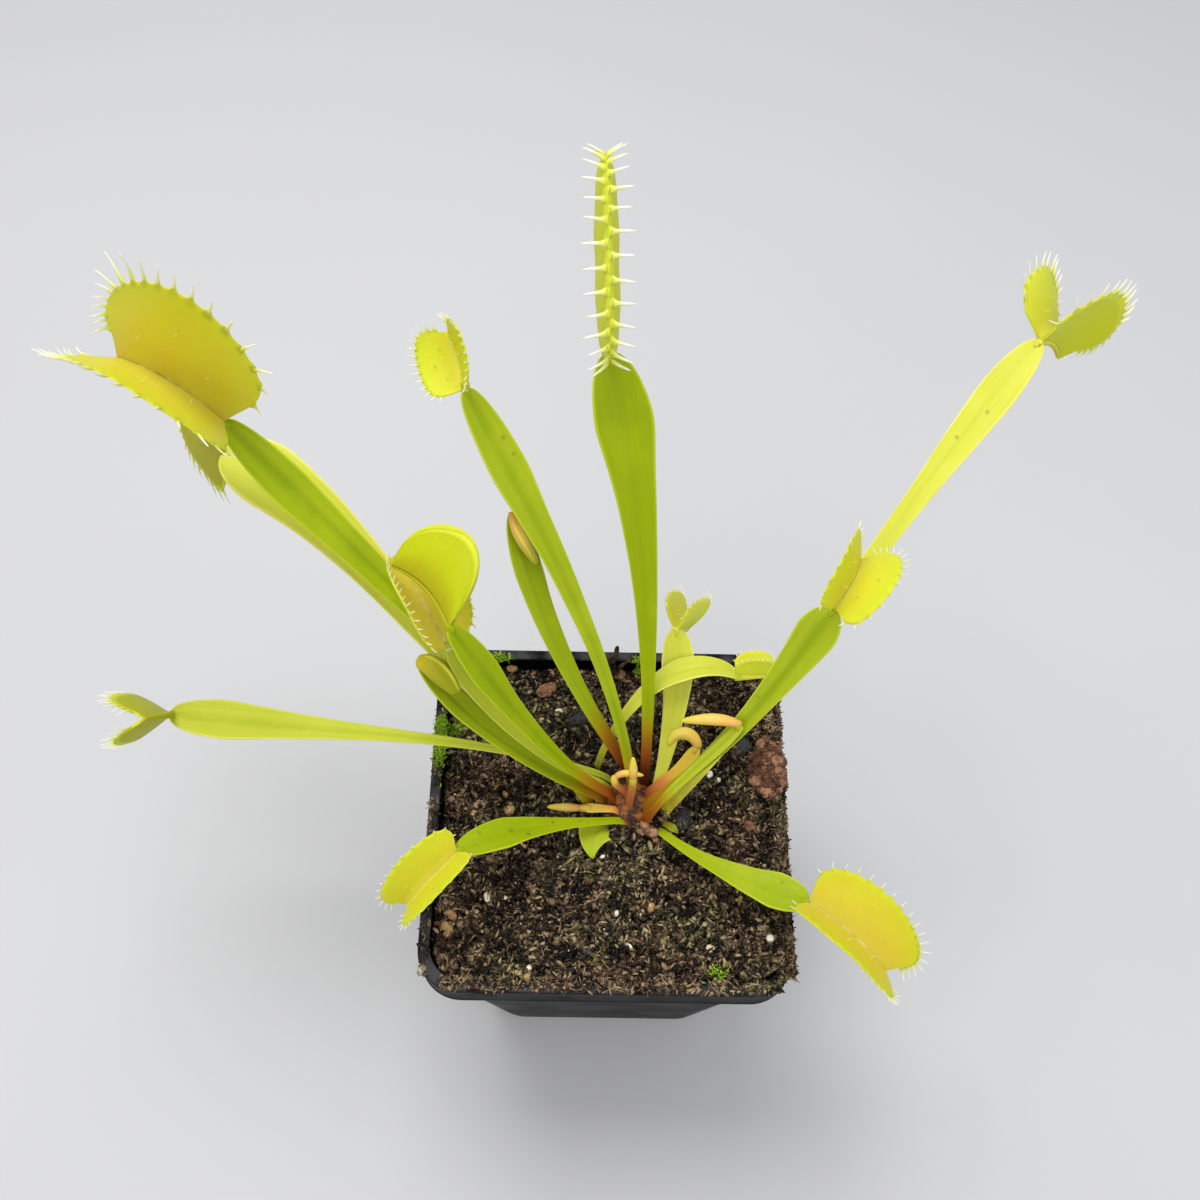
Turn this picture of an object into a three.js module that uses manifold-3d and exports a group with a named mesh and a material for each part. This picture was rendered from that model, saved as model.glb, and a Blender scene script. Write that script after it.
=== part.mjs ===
import * as THREE from 'three';
import { mergeVertices } from 'three/addons/utils/BufferGeometryUtils.js';
import Module from 'manifold-3d';

// A potted venus flytrap: a square nursery pot, its soil, the crown and every leaf with its trap.
// Millimetres, +Z up, the origin in the middle of the pot's underside, +Y away from the viewer.
const wasm = await Module();
wasm.setup();

// Pot
const POT_HEIGHT = 80;
const RIM_SIDE = 83;
const RIM_CORNER = 9;
const BASE_SIDE = 61;
const BASE_CORNER = 10.5;
const LIP_HEIGHT = 9;
const LIP_PROUD = 1.4;
const LIP_DRAFT = 0.8;
const WALL = 1.3;
const FLOOR = 1.8;
const CORNER_STEPS = 5;
const DRAIN_DIAMETER = 5.5;
const DRAIN_RING = 20;
const DRAIN_COUNT = 8;

// Soil and crown
const CLEAR = 0.3;
const SOIL_CELLS = 14;
const SOIL_LEVEL = 77.2;
const SOIL_RISE = 0.7;
const CROWN_CENTRE = new THREE.Vector2(5, 3.5);
const CROWN_RADIUS = 8.2;
const CROWN_TOP = 80.8;
const CROWN_FOOT = 62;
const ROOT_LEVEL = 75.8;
const ROOT_RISE = 78;
const FOOT_REACH = 0.35;

// Leaf skins
const SPINE_STEPS = 32;
const BLADE_STATIONS = 8;
const SHOULDER_STATIONS = 5;
const EDGE_THICKNESS = 0.7;
const FOOT_THICKNESS = 1.7;
const RIB_THICKNESS = 1.3;
const RIB_ABOVE = 0.4;
const BLADE_FOLD = 12;
const NECK_HALF = 0.7;
const KNOT_RADIUS = 0.95;
const MIDRIB_STEPS = 4;
const MIDRIB_RADII = [0.9, 0.55];
const POD_STEPS = 6;
const POD_SLIMNESS = 0.42;
const LOBE_STATIONS = 9;
const LOBE_ENDS = [0.04, 0.96];
const LOBE_ROWS = [0, 0.5];
const LOBE_THICKNESS = 0.75;
const LOBE_FULLNESS = 0.75;
const TOOTH_HALF = 0.42;
const SMALL_STEP = 0.01;

// Each leaf: foot on the crown, then heading (from +X), rise and roll in degrees along the petiole,
// its length, half widths and where it is widest, and the trap or folded pod at its end
const LEAVES = [
  {
    name: 'leaf_upper_left',
    foot: [-3.5, 1, 79.5], heading: [137, 144, 143], rise: [40, 32, 31], roll: [0, -25],
    length: 119, half: 4.5, footHalf: 1.3, widest: 0.83, taper: 2.1,
    trap: {
      length: 25, depth: 26, heading: 156, rise: 19, mouth: -13, gape: 24, cup: -1, arch: -6,
      flare: [1.2, 1.2], teeth: 17, tooth: [2.6, 7.5], lean: 12,
    },
  },
  {
    name: 'leaf_upper_left_under',
    foot: [-2, 5.5, 79], heading: [165, 137, 161], rise: [33, 27, 16], roll: [0, 0],
    length: 116, half: 8.4, footHalf: 1.3, widest: 0.9, taper: 2.1,
    trap: {
      length: 19, depth: 13.5, heading: 126, rise: -3, mouth: 185, gape: 14, cup: 0, arch: 1,
      flare: [0.8, 0.6], teeth: 14, tooth: [2.5, 5], lean: 15,
    },
  },
  {
    name: 'leaf_centre_left',
    foot: [5.5, 6.5, 81.5], heading: [109, 125, 128], rise: [65, 46, 41], roll: [0, 0],
    length: 101, half: 4.3, footHalf: 1.2, widest: 0.81, taper: 2.2,
    trap: {
      length: 12.4, depth: 8.5, heading: 108, rise: 22, mouth: -43, gape: 42, cup: 10, arch: 1,
      flare: [0.4, 0.6], teeth: 13, tooth: [1.6, 2.4], lean: 30,
    },
  },
  {
    name: 'leaf_new_centre_left',
    foot: [5, 9.5, 81.5], heading: [147, 127, 108], rise: [58, 48, 49], roll: [-5, 0],
    length: 71, half: 3.2, footHalf: 1.5, widest: 0.8, taper: 2,
    pod: { heading: [-100, -72, -66], rise: [-10, -42, -46], length: 12, half: 1.6, thick: 1.3 },
  },
  {
    name: 'leaf_tall_centre',
    foot: [8.5, 7, 80.5], heading: [88, 99, 112], rise: [61, 51, 44], roll: [0, 0],
    length: 102, half: 6.4, footHalf: 1.2, widest: 0.85, taper: 2.3,
    trap: {
      length: 36, depth: 17, heading: 93, rise: 38, mouth: 0, gape: 21, cup: -38, arch: 2,
      flare: [0.5, 0.4], teeth: 15, tooth: [5, 5.5], lean: 62,
    },
  },
  {
    name: 'leaf_far_right',
    foot: [12.5, 0, 78.5], heading: [40, 49, 46], rise: [31, 30, 28], roll: [0, 0],
    length: 136, half: 4.5, footHalf: 1.2, widest: 0.88, taper: 2.9,
    trap: {
      length: 15, depth: 17, heading: 30, rise: -48, mouth: -23, gape: 29, cup: 0, arch: -1.5,
      flare: [2.2, 1.2], teeth: 14, tooth: [2, 5], lean: 20,
    },
  },
  {
    name: 'leaf_right',
    foot: [8, 0.5, 81], heading: [16, 37, 48], rise: [47, 45, 42], roll: [10, 5],
    length: 67, half: 4.7, footHalf: 1.45, widest: 0.9, taper: 2.6,
    trap: {
      length: 14.3, depth: 10.9, heading: 62, rise: -2, mouth: 18, gape: 32, cup: 5, arch: -2,
      flare: [1.3, 1], teeth: 13, tooth: [1.4, 2.4], lean: 20,
    },
  },
  {
    name: 'leaf_lower_right',
    foot: [11, -3, 78.5], heading: [-52, -32, -21], rise: [29, 18, 7], roll: [-5, 0],
    length: 41, half: 4.4, footHalf: 1, widest: 0.81, taper: 2.2,
    trap: {
      length: 21, depth: 11.5, heading: -41, rise: -7, mouth: -13, gape: 46, cup: 6, arch: -2,
      flare: [0.6, 1.2], teeth: 15, tooth: [1.6, 3], lean: 15,
    },
  },
  {
    name: 'leaf_lower_left',
    foot: [5, -1.5, 78.5], heading: [-166, -163, -148], rise: [25, 22, 8], roll: [5, 5],
    length: 43, half: 3.8, footHalf: 0.9, widest: 0.73, taper: 2.4,
    trap: {
      length: 15.6, depth: 8.1, heading: -137, rise: -22, mouth: 2, gape: 44, cup: 2, arch: -1,
      flare: [1, 1.1], teeth: 13, tooth: [1, 1.8], lean: 20,
    },
  },
  {
    name: 'leaf_left',
    foot: [1.5, 8.5, 78.5], heading: [170, 178, 174], rise: [24, 8, 3], roll: [10, -5],
    length: 103, half: 4.9, footHalf: 0.9, widest: 0.87, taper: 3,
    trap: {
      length: 13.8, depth: 10.2, heading: -101, rise: 62, mouth: 105, gape: 32, cup: -1, arch: 1,
      flare: [0.9, 0.4], teeth: 12, tooth: [1.6, 3.4], lean: 10,
    },
  },
  {
    name: 'leaf_closed_trap',
    foot: [2, 3, 81.5], heading: [185, 155, 144], rise: [52, 57, 52], roll: [0, 5],
    length: 68, half: 3.6, footHalf: 1.3, widest: 0.79, taper: 2.2,
    trap: {
      length: 19.5, depth: 13.6, heading: 131, rise: -3, mouth: 64, gape: 16, cup: -28, arch: -2,
      flare: [-0.3, 0.6], teeth: 7, tooth: [0.3, 0.3], lean: 85,
    },
  },
  {
    name: 'leaf_open_trap_behind',
    foot: [0.9, 5.7, 80.6], heading: [195.9, 153.4, 136.5], rise: [53.6, 41.1, 49.1], roll: [0, 0],
    length: 57.2, half: 2.8, footHalf: 1.1, widest: 0.8, taper: 2.2,
    trap: {
      length: 22.8, depth: 13.4, heading: 121.7, rise: 21, mouth: 7.1, gape: 51.2, cup: -41.8,
      arch: 1, flare: [0, -0.25], teeth: 13, tooth: [1.4, 2.6], lean: 20,
    },
  },
  {
    name: 'leaf_clam_trap',
    foot: [-0.2, 3, 80.2], heading: [178, 159, 136], rise: [45, 38, 37], roll: [-10, 5],
    length: 58.3, half: 2.9, footHalf: 1.5, widest: 0.76, taper: 2.5,
    pod: { heading: [-20, -40, -46], rise: [30, -18, -38], length: 11.5, half: 2.5, thick: 1.7 },
  },
  {
    name: 'leaf_back_upright',
    foot: [11, 4.5, 79.5], heading: [71, 81, 99], rise: [48, 39, 20], roll: [0, 0],
    length: 40, half: 3.9, footHalf: 1.1, widest: 0.79, taper: 1.4,
    trap: {
      length: 10.5, depth: 8.8, heading: 53, rise: -54, mouth: -19, gape: 30, cup: -20, arch: 0,
      flare: [1.2, 1.2], teeth: 12, tooth: [1, 1.8], lean: 10,
    },
  },
  {
    name: 'leaf_back_arching',
    foot: [-2.5, 12, 80], heading: [48, 33, -16], rise: [64, 35, -34], roll: [0, -20],
    length: 47, half: 3.4, footHalf: 0.9, widest: 0.7, taper: 2.6,
    trap: {
      length: 8, depth: 5.5, heading: 2, rise: 4, mouth: -40, gape: 26, cup: 0, arch: 0,
      flare: [0.5, 0.5], teeth: 12, tooth: [0.9, 1.4], lean: 10,
    },
  },
  {
    name: 'new_leaf_folded_right',
    foot: [8.5, -2.6, 80.2], heading: [40, 30, 37.5], rise: [62, 47, 46.5], roll: [0, 0],
    length: 36.2, half: 1.4, footHalf: 1, widest: 0.83, taper: 2.2,
    pod: { heading: [160, 182, 186], rise: [-14, -20, -12], length: 13.5, half: 1.4, thick: 1.1 },
  },
  {
    name: 'new_leaf_hooked_right',
    foot: [8.5, 4, 81], heading: [9, 28, 49], rise: [50, 44, 45], roll: [0, 0],
    length: 18.8, half: 1.6, footHalf: 1.2, widest: 0.82, taper: 2.1,
    pod: { heading: [95, 178, 262], rise: [30, -2, -50], length: 10.8, half: 1.5, thick: 1.2 },
  },
  {
    name: 'sprout_upright',
    foot: [4.9, 1.2, 80.4], heading: [75, 72, 80], rise: [80, 80, 76], roll: [0, 0],
    length: 11, half: 0.9, footHalf: 0.9, widest: 0.8, taper: 1.5,
    pod: { heading: [93, 93, 93], rise: [60, 46, 40], length: 6, half: 1, thick: 0.9 },
  },
  {
    name: 'sprout_hooked',
    foot: [4.5, 3.7, 81], heading: [161, 161, 158], rise: [54, 54, 50], roll: [0, 0],
    length: 6.2, half: 0.9, footHalf: 0.8, widest: 0.8, taper: 1.5,
    pod: { heading: [75, 3, -5], rise: [12, 0, -3], length: 8, half: 0.9, thick: 0.8 },
  },
  {
    name: 'new_leaf_folded_left',
    foot: [2.9, 0.2, 80.4], heading: [180, 181, 181], rise: [16, 8, 2], roll: [0, 0],
    length: 8.5, half: 1.2, footHalf: 0.8, widest: 0.8, taper: 1.6,
    pod: { heading: [180, 180, 181], rise: [4, 4, 0], length: 8.5, half: 1, thick: 0.9 },
  },
  {
    name: 'small_blade_lower_left',
    foot: [0.2, -2.6, 77.9], heading: [-165, -110, -75], rise: [30, 6, -6], roll: [0, 0],
    length: 9, half: 3.7, footHalf: 0.8, widest: 0.5, taper: 1.3,
  },
  {
    name: 'stub_lower_right',
    foot: [13, -2, 78.4], heading: [-38, -40, -44], rise: [24, 16, 8], roll: [0, 0],
    length: 4.5, half: 1.1, footHalf: 0.7, widest: 0.6, taper: 1.4,
  },
];

const GREEN = new THREE.Color(0x9fb80c);
const PALE = new THREE.Color(0xd9e04a);
const BLUSH = new THREE.Color(0xd48a58);
const PALE_LEAVES = ['leaf_upper_left_under', 'leaf_far_right', 'leaf_back_upright', 'leaf_left'];

const up = new THREE.Vector3(0, 0, 1);
const rad = THREE.MathUtils.degToRad;

// Value at s of the parabola through three values given at the foot, the middle and the tip
function along(values, s) {
  const [first, middle, last] = values;
  return first * (1 - s) * (1 - 2 * s) + middle * 4 * s * (1 - s) + last * s * (2 * s - 1);
}

function direction(heading, rise) {
  const flat = Math.cos(rad(rise));
  return new THREE.Vector3(
    flat * Math.cos(rad(heading)),
    flat * Math.sin(rad(heading)),
    Math.sin(rad(rise)),
  );
}

// The upper side's normal and the right hand side of a strip that runs along `tangent`
function sides(tangent, roll) {
  const level = up.clone().addScaledVector(tangent, -tangent.z).normalize();
  const across = tangent.clone().cross(level);
  const normal = level.multiplyScalar(Math.cos(rad(roll)));
  normal.addScaledVector(across, Math.sin(rad(roll)));
  return { normal, side: tangent.clone().cross(normal) };
}

// Walks from the start along the changing direction and returns a function of s
function spine(start, heading, rise, length) {
  const tangentAt = (s) => direction(along(heading, s), along(rise, s));
  const points = [start.clone()];
  for (let i = 0; i < SPINE_STEPS; i += 1) {
    const ahead = tangentAt((i + 1) / SPINE_STEPS);
    const middle = tangentAt(i / SPINE_STEPS).add(ahead).multiplyScalar(0.5);
    points.push(points[i].clone().addScaledVector(middle, length / SPINE_STEPS));
  }
  return (s) => {
    const at = THREE.MathUtils.clamp(s, 0, 1) * SPINE_STEPS;
    const i = Math.min(Math.floor(at), SPINE_STEPS - 1);
    const point = points[i].clone().lerp(points[i + 1], at - i);
    return { point, tangent: tangentAt(s).normalize() };
  };
}

function meshOf(points, index) {
  const geometry = new THREE.BufferGeometry();
  const positions = points.flatMap((p) => [p.x, p.y, p.z]);
  geometry.setAttribute('position', new THREE.Float32BufferAttribute(positions, 3));
  geometry.setIndex(index);
  return geometry;
}

// Six points of an oval round a centre
function ovalRing(centre, side, normal, half, thick) {
  return Array.from({ length: 6 }, (_, k) => {
    const angle = k * Math.PI / 3;
    const point = centre.clone().addScaledVector(side, half * Math.cos(angle));
    return point.addScaledVector(normal, thick * Math.sin(angle));
  });
}

// A closed skin over rings of points. In a flat ring the second half of the points runs back along
// the first, so its diagonals are mirrored and the ends are closed by a strip between the halves
function loft(rings) {
  const count = rings[0].length;
  const half = count / 2;
  const index = [];
  for (let i = 0; i + 1 < rings.length; i += 1) {
    for (let j = 0; j < count; j += 1) {
      const a = i * count + j;
      const b = i * count + ((j + 1) % count);
      if (j < half) {
        index.push(a, b, b + count, a, b + count, a + count);
      } else {
        index.push(a, b, a + count, b, b + count, a + count);
      }
    }
  }
  const last = (rings.length - 1) * count;
  for (let j = 0; j + 1 < half; j += 1) {
    const [a, b, c, d] = [j, j + 1, count - 2 - j, count - 1 - j];
    index.push(a, c, b, a, d, c);
    index.push(last + a, last + b, last + c, last + a, last + c, last + d);
  }
  return meshOf(rings.flat(), index);
}

function signedVolume(positions, triangles) {
  const [a, b, c] = [new THREE.Vector3(), new THREE.Vector3(), new THREE.Vector3()];
  let total = 0;
  for (let i = 0; i < triangles.length; i += 3) {
    a.fromArray(positions, triangles[i] * 3);
    b.fromArray(positions, triangles[i + 1] * 3);
    c.fromArray(positions, triangles[i + 2] * 3);
    total += a.dot(b.cross(c)) / 6;
  }
  return total;
}

// A solid from a closed geometry, with its faces turned outwards
function solidOf(geometry) {
  const bare = geometry.clone();
  bare.deleteAttribute('normal');
  bare.deleteAttribute('uv');
  const merged = mergeVertices(bare, 1e-4);
  const positions = merged.attributes.position.array;
  const triangles = Uint32Array.from(merged.index.array);
  if (signedVolume(positions, triangles) < 0) {
    triangles.reverse();
  }
  return new wasm.Manifold(new wasm.Mesh({
    numProp: 3,
    vertProperties: Float32Array.from(positions),
    triVerts: triangles,
  }));
}

function geometryOf(solid) {
  const mesh = solid.getMesh();
  const geometry = new THREE.BufferGeometry();
  geometry.setAttribute('position', new THREE.BufferAttribute(mesh.vertProperties, 3));
  geometry.setIndex(new THREE.BufferAttribute(mesh.triVerts, 1));
  geometry.computeVertexNormals();
  return geometry;
}

// The largest of the bodies that a cut leaves
function largest(solid) {
  return solid.decompose().reduce((best, body) => (body.volume() > best.volume() ? body : best));
}

function joined(solids) {
  return solids.reduce((whole, solid) => whole.add(solid));
}

// Points of a square with round corners, seen from above, at height z
function roundedSquare(side, corner, z) {
  const points = [];
  const inset = side / 2 - corner;
  for (let quarter = 0; quarter < 4; quarter += 1) {
    const middle = (quarter + 0.5) * Math.PI / 2;
    const cx = Math.sign(Math.cos(middle)) * inset;
    const cy = Math.sign(Math.sin(middle)) * inset;
    for (let step = 0; step <= CORNER_STEPS; step += 1) {
      const angle = (quarter + step / CORNER_STEPS) * Math.PI / 2;
      const x = cx + corner * Math.cos(angle);
      const y = cy + corner * Math.sin(angle);
      points.push(new THREE.Vector3(x, y, z));
    }
  }
  return points;
}

// Outer side length and corner radius of the tapered wall at height z
function potSide(z) {
  return THREE.MathUtils.mapLinear(z, 0, POT_HEIGHT, BASE_SIDE, RIM_SIDE - 2 * LIP_PROUD);
}

function potCorner(z) {
  return THREE.MathUtils.mapLinear(z, 0, POT_HEIGHT, BASE_CORNER, RIM_CORNER);
}

function potRing(inset, z) {
  return roundedSquare(potSide(z) - 2 * inset, potCorner(z) - inset, z);
}

function pot() {
  const lipFoot = POT_HEIGHT - LIP_HEIGHT;
  const wall = solidOf(loft([potRing(0, 0), potRing(0, POT_HEIGHT)]));
  const lip = solidOf(loft([
    roundedSquare(RIM_SIDE - LIP_DRAFT, RIM_CORNER, lipFoot),
    roundedSquare(RIM_SIDE, RIM_CORNER, POT_HEIGHT),
  ]));
  const above = POT_HEIGHT + 1;
  const cavity = solidOf(loft([potRing(WALL, FLOOR), potRing(WALL, above)]));
  let body = wall.add(lip).subtract(cavity);
  for (let i = 0; i < DRAIN_COUNT; i += 1) {
    const angle = (i + 0.5) * 2 * Math.PI / DRAIN_COUNT;
    const drill = new THREE.CylinderGeometry(DRAIN_DIAMETER / 2, DRAIN_DIAMETER / 2, 4 * FLOOR, 12);
    drill.rotateX(Math.PI / 2);
    drill.translate(DRAIN_RING * Math.cos(angle), DRAIN_RING * Math.sin(angle), 0);
    body = body.subtract(solidOf(drill));
  }
  return body;
}

// Height of the soil: heaped to the rim in front and at the right, lower at the back and left
function soilHeight(x, y) {
  const reach = RIM_SIDE / 2;
  const slope = SOIL_RISE * (x - y) / reach;
  const broad = 0.35 * Math.sin(0.42 * x + 1.3) * Math.cos(0.37 * y);
  const fine = 0.25 * Math.sin(0.9 * x + 0.7 * y);
  return SOIL_LEVEL + slope + broad + fine;
}

// A block with the lumpy top, trimmed to the pot's inside with a small clearance to the wall
function soil() {
  const depth = SOIL_LEVEL - FLOOR;
  const block = new THREE.BoxGeometry(RIM_SIDE, RIM_SIDE, depth, SOIL_CELLS, SOIL_CELLS, 1);
  block.translate(0, 0, FLOOR + depth / 2);
  const position = block.attributes.position;
  for (let i = 0; i < position.count; i += 1) {
    if (position.getZ(i) > FLOOR + depth / 2) {
      position.setZ(i, soilHeight(position.getX(i), position.getY(i)));
    }
  }
  const inset = WALL + CLEAR;
  const inside = solidOf(loft([potRing(inset, FLOOR), potRing(inset, POT_HEIGHT + 1)]));
  return solidOf(block).intersect(inside);
}

// The crown is a low brown dome over a bulb; `grow` swells it for the hole it stands in
function crown(grow) {
  const radius = CROWN_RADIUS + grow;
  const top = CROWN_TOP + grow;
  const profile = [
    [0, CROWN_FOOT - grow], [radius * 0.45, CROWN_FOOT - grow], [radius * 0.85, CROWN_FOOT + 6],
    [radius, CROWN_FOOT + 12], [radius * 0.86, top - 3.3], [radius * 0.66, top - 1.5],
    [radius * 0.36, top - 0.4], [0, top],
  ].map(([r, z]) => new THREE.Vector2(r, z));
  const bulb = new THREE.LatheGeometry(profile, 20);
  bulb.rotateX(Math.PI / 2);
  bulb.translate(CROWN_CENTRE.x, CROWN_CENTRE.y, 0);
  return solidOf(bulb);
}

// Half width of a petiole: narrow at the foot, widest near the end, round shoulders to the neck
function halfWidth(leaf, s) {
  if (s < leaf.widest) {
    return leaf.footHalf + (leaf.half - leaf.footHalf) * (s / leaf.widest) ** leaf.taper;
  }
  const past = Math.min((s - leaf.widest) / (1 - leaf.widest), 1);
  return NECK_HALF + (leaf.half - NECK_HALF) * Math.sqrt(1 - past * past);
}

// A petiole's section: two edges and a rib, folded up a little like a gutter
function bladeRing(leaf, at, s, grow) {
  const { point, tangent } = at;
  const roll = THREE.MathUtils.lerp(leaf.roll[0], leaf.roll[1], s);
  const { normal, side } = sides(tangent, roll);
  const half = halfWidth(leaf, s) + grow;
  const rib = THREE.MathUtils.lerp(FOOT_THICKNESS, RIB_THICKNESS, Math.min(s * 2, 1));
  const thick = rib + 2 * grow;
  const out = half * Math.cos(rad(BLADE_FOLD));
  const lift = half * Math.sin(rad(BLADE_FOLD));
  const edge = EDGE_THICKNESS / 2 + grow;
  const place = (across, height) => (
    point.clone().addScaledVector(side, across).addScaledVector(normal, height)
  );
  return [
    place(-out, lift + edge),
    place(0, thick * RIB_ABOVE),
    place(out, lift + edge),
    place(out, lift - edge),
    place(0, thick * (RIB_ABOVE - 1)),
    place(-out, lift - edge),
  ];
}

function footPoint(leaf) {
  return new THREE.Vector3(...leaf.foot);
}

// Below its foot the petiole turns straight down into the crown or the soil
function petiole(leaf, grow = 0, reach = 1) {
  const at = spine(footPoint(leaf), leaf.heading, leaf.rise, leaf.length);
  const root = {
    point: footPoint(leaf).setZ(ROOT_LEVEL - grow),
    tangent: direction(leaf.heading[0], ROOT_RISE),
  };
  const rings = [bladeRing(leaf, root, 0, grow)];
  for (let i = 0; i <= BLADE_STATIONS; i += 1) {
    const s = leaf.widest * i / BLADE_STATIONS;
    if (s <= reach) {
      rings.push(bladeRing(leaf, at(s), s, grow));
    }
  }
  for (let i = 1; i <= SHOULDER_STATIONS && reach === 1; i += 1) {
    const s = leaf.widest + (1 - leaf.widest) * Math.sin(0.5 * Math.PI * i / SHOULDER_STATIONS);
    rings.push(bladeRing(leaf, at(s), s, grow));
  }
  return solidOf(loft(rings));
}

// Where the flat lobe's outline is at t, from the neck (0) to the far end of the midrib (1)
function lobeOutline(trap, t) {
  const c = Math.cos(Math.PI * t);
  const s = Math.max(Math.sin(Math.PI * t), 0);
  const flare = THREE.MathUtils.lerp(trap.flare[0], trap.flare[1], t);
  const x = trap.length / 2 * (1 - (1 + flare * s) * c);
  return new THREE.Vector2(x, trap.depth * s ** LOBE_FULLNESS);
}

// Folds the flat lobe up along the midrib: the gape at the midrib, changed by the cup to the margin
function trapShape(trap, neck) {
  const midrib = direction(trap.heading, trap.rise);
  const { normal: mouth, side } = sides(midrib, trap.mouth);
  const gape = rad(trap.gape);
  const cup = rad(trap.cup || 0.5);
  const fold = (flat, hand) => {
    const angle = gape + cup * flat.y / trap.depth;
    const height = trap.depth / cup * (Math.sin(angle) - Math.sin(gape));
    const out = -trap.depth / cup * (Math.cos(angle) - Math.cos(gape));
    const x = THREE.MathUtils.clamp(flat.x, -0.3 * trap.length, 1.3 * trap.length);
    const arch = -trap.arch * 4 * x * (trap.length - x) / trap.length ** 2;
    const place = neck.clone().addScaledVector(midrib, flat.x);
    return place.addScaledVector(mouth, height + arch).addScaledVector(side, hand * out);
  };
  const inward = (flat, hand) => {
    const angle = gape + cup * flat.y / trap.depth;
    const upward = mouth.clone().multiplyScalar(Math.sin(angle));
    return upward.addScaledVector(side, -hand * Math.cos(angle));
  };
  return { fold, inward };
}

function lobePoint(trap, t, row) {
  const root = new THREE.Vector2(trap.length * (1 - Math.cos(Math.PI * t)) / 2, 0);
  return root.lerp(lobeOutline(trap, t), row);
}

// Bristles along the margin: where each stands (t), half its root in t and its length
function bristles(trap, hand) {
  const shift = hand > 0 ? 0 : 0.5;
  return Array.from({ length: trap.teeth }, (_, i) => {
    const t = THREE.MathUtils.mapLinear(i + shift, 0, trap.teeth - 0.5, 0.13, 0.92);
    const span = lobeOutline(trap, t + SMALL_STEP).distanceTo(lobeOutline(trap, t - SMALL_STEP));
    const root = TOOTH_HALF * 2 * SMALL_STEP / span;
    return { t, root, length: THREE.MathUtils.lerp(trap.tooth[0], trap.tooth[1], t) };
  });
}

// A bristle stands out of the margin in the lobe's own direction and leans in over the mouth
function bristleTip(trap, shape, hand, bristle) {
  const rim = lobeOutline(trap, bristle.t);
  const ahead = lobeOutline(trap, bristle.t + SMALL_STEP)
    .sub(lobeOutline(trap, bristle.t - SMALL_STEP))
    .normalize();
  const beyond = new THREE.Vector2(rim.x - ahead.y / 2, rim.y + ahead.x / 2);
  const base = shape.fold(rim, hand);
  const aim = shape.fold(beyond, hand).sub(base).normalize();
  aim.multiplyScalar(Math.cos(rad(trap.lean)));
  aim.addScaledVector(shape.inward(rim, hand), Math.sin(rad(trap.lean))).normalize();
  return base.addScaledVector(aim, bristle.length);
}

// A lobe is a skin of two faces: coarse rows at the stations below a finer margin. A strip closes it
// all the way round, and a four sided bristle stands on every second stretch of the margin
function lobe(trap, shape, hand) {
  const points = [];
  const index = [];
  const pair = (flat) => {
    const inward = shape.inward(flat, hand);
    for (const depth of [LOBE_THICKNESS / 2, -LOBE_THICKNESS / 2]) {
      points.push(shape.fold(flat, hand).addScaledVector(inward, depth));
    }
    return points.length - 2;
  };
  const face = (a, b, c) => index.push(a, b, c, a + 1, c + 1, b + 1);
  const teeth = bristles(trap, hand);
  const [start, end] = LOBE_ENDS;
  const stations = Array.from({ length: LOBE_STATIONS }, (_, i) => (
    THREE.MathUtils.mapLinear(i, 0, LOBE_STATIONS - 1, start, end)
  ));
  const marks = [start, ...teeth.flatMap(({ t, root }) => [t - root, t + root]), end];
  const [low, high] = LOBE_ROWS.map((row) => stations.map((t) => pair(lobePoint(trap, t, row))));
  const margin = marks.map((t) => pair(lobeOutline(trap, t)));
  for (let i = 0; i + 1 < LOBE_STATIONS; i += 1) {
    face(low[i], low[i + 1], high[i + 1]);
    face(low[i], high[i + 1], high[i]);
  }
  let i = 0;
  for (let j = 0; j + 1 < marks.length || i + 1 < LOBE_STATIONS;) {
    if (j + 1 === marks.length || (i + 1 < LOBE_STATIONS && stations[i + 1] < marks[j + 1])) {
      face(high[i], high[i + 1], margin[j]);
      i += 1;
    } else {
      face(high[i], margin[j + 1], margin[j]);
      j += 1;
    }
  }
  const loop = [...margin, high[LOBE_STATIONS - 1], ...low.toReversed(), high[0]];
  loop.forEach((a, k) => {
    const b = loop[(k + 1) % loop.length];
    if (k % 2 === 0 || k > 2 * teeth.length) {
      index.push(a, b, b + 1, a, b + 1, a + 1);
      return;
    }
    points.push(bristleTip(trap, shape, hand, teeth[(k - 1) / 2]));
    const tip = points.length - 1;
    index.push(a, b, tip, b, b + 1, tip, b + 1, a + 1, tip, a + 1, a, tip);
  });
  return solidOf(meshOf(points, index));
}

// The midrib swells under the fold of the two lobes and thins out towards their far end
function midribRod(trap, shape) {
  const rings = [];
  for (let i = 0; i <= MIDRIB_STEPS; i += 1) {
    const at = new THREE.Vector2(trap.length * i / MIDRIB_STEPS, 0);
    const radius = THREE.MathUtils.lerp(MIDRIB_RADII[0], MIDRIB_RADII[1], i / MIDRIB_STEPS);
    const left = shape.inward(at, 1);
    const right = shape.inward(at, -1);
    const upward = left.clone().add(right).normalize();
    rings.push(ovalRing(shape.fold(at, 1), left.sub(right).normalize(), upward, radius, radius));
  }
  return solidOf(loft(rings));
}

function trapSolids(trap, neck) {
  const shape = trapShape(trap, neck);
  return [midribRod(trap, shape), lobe(trap, shape, 1), lobe(trap, shape, -1)];
}

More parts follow.
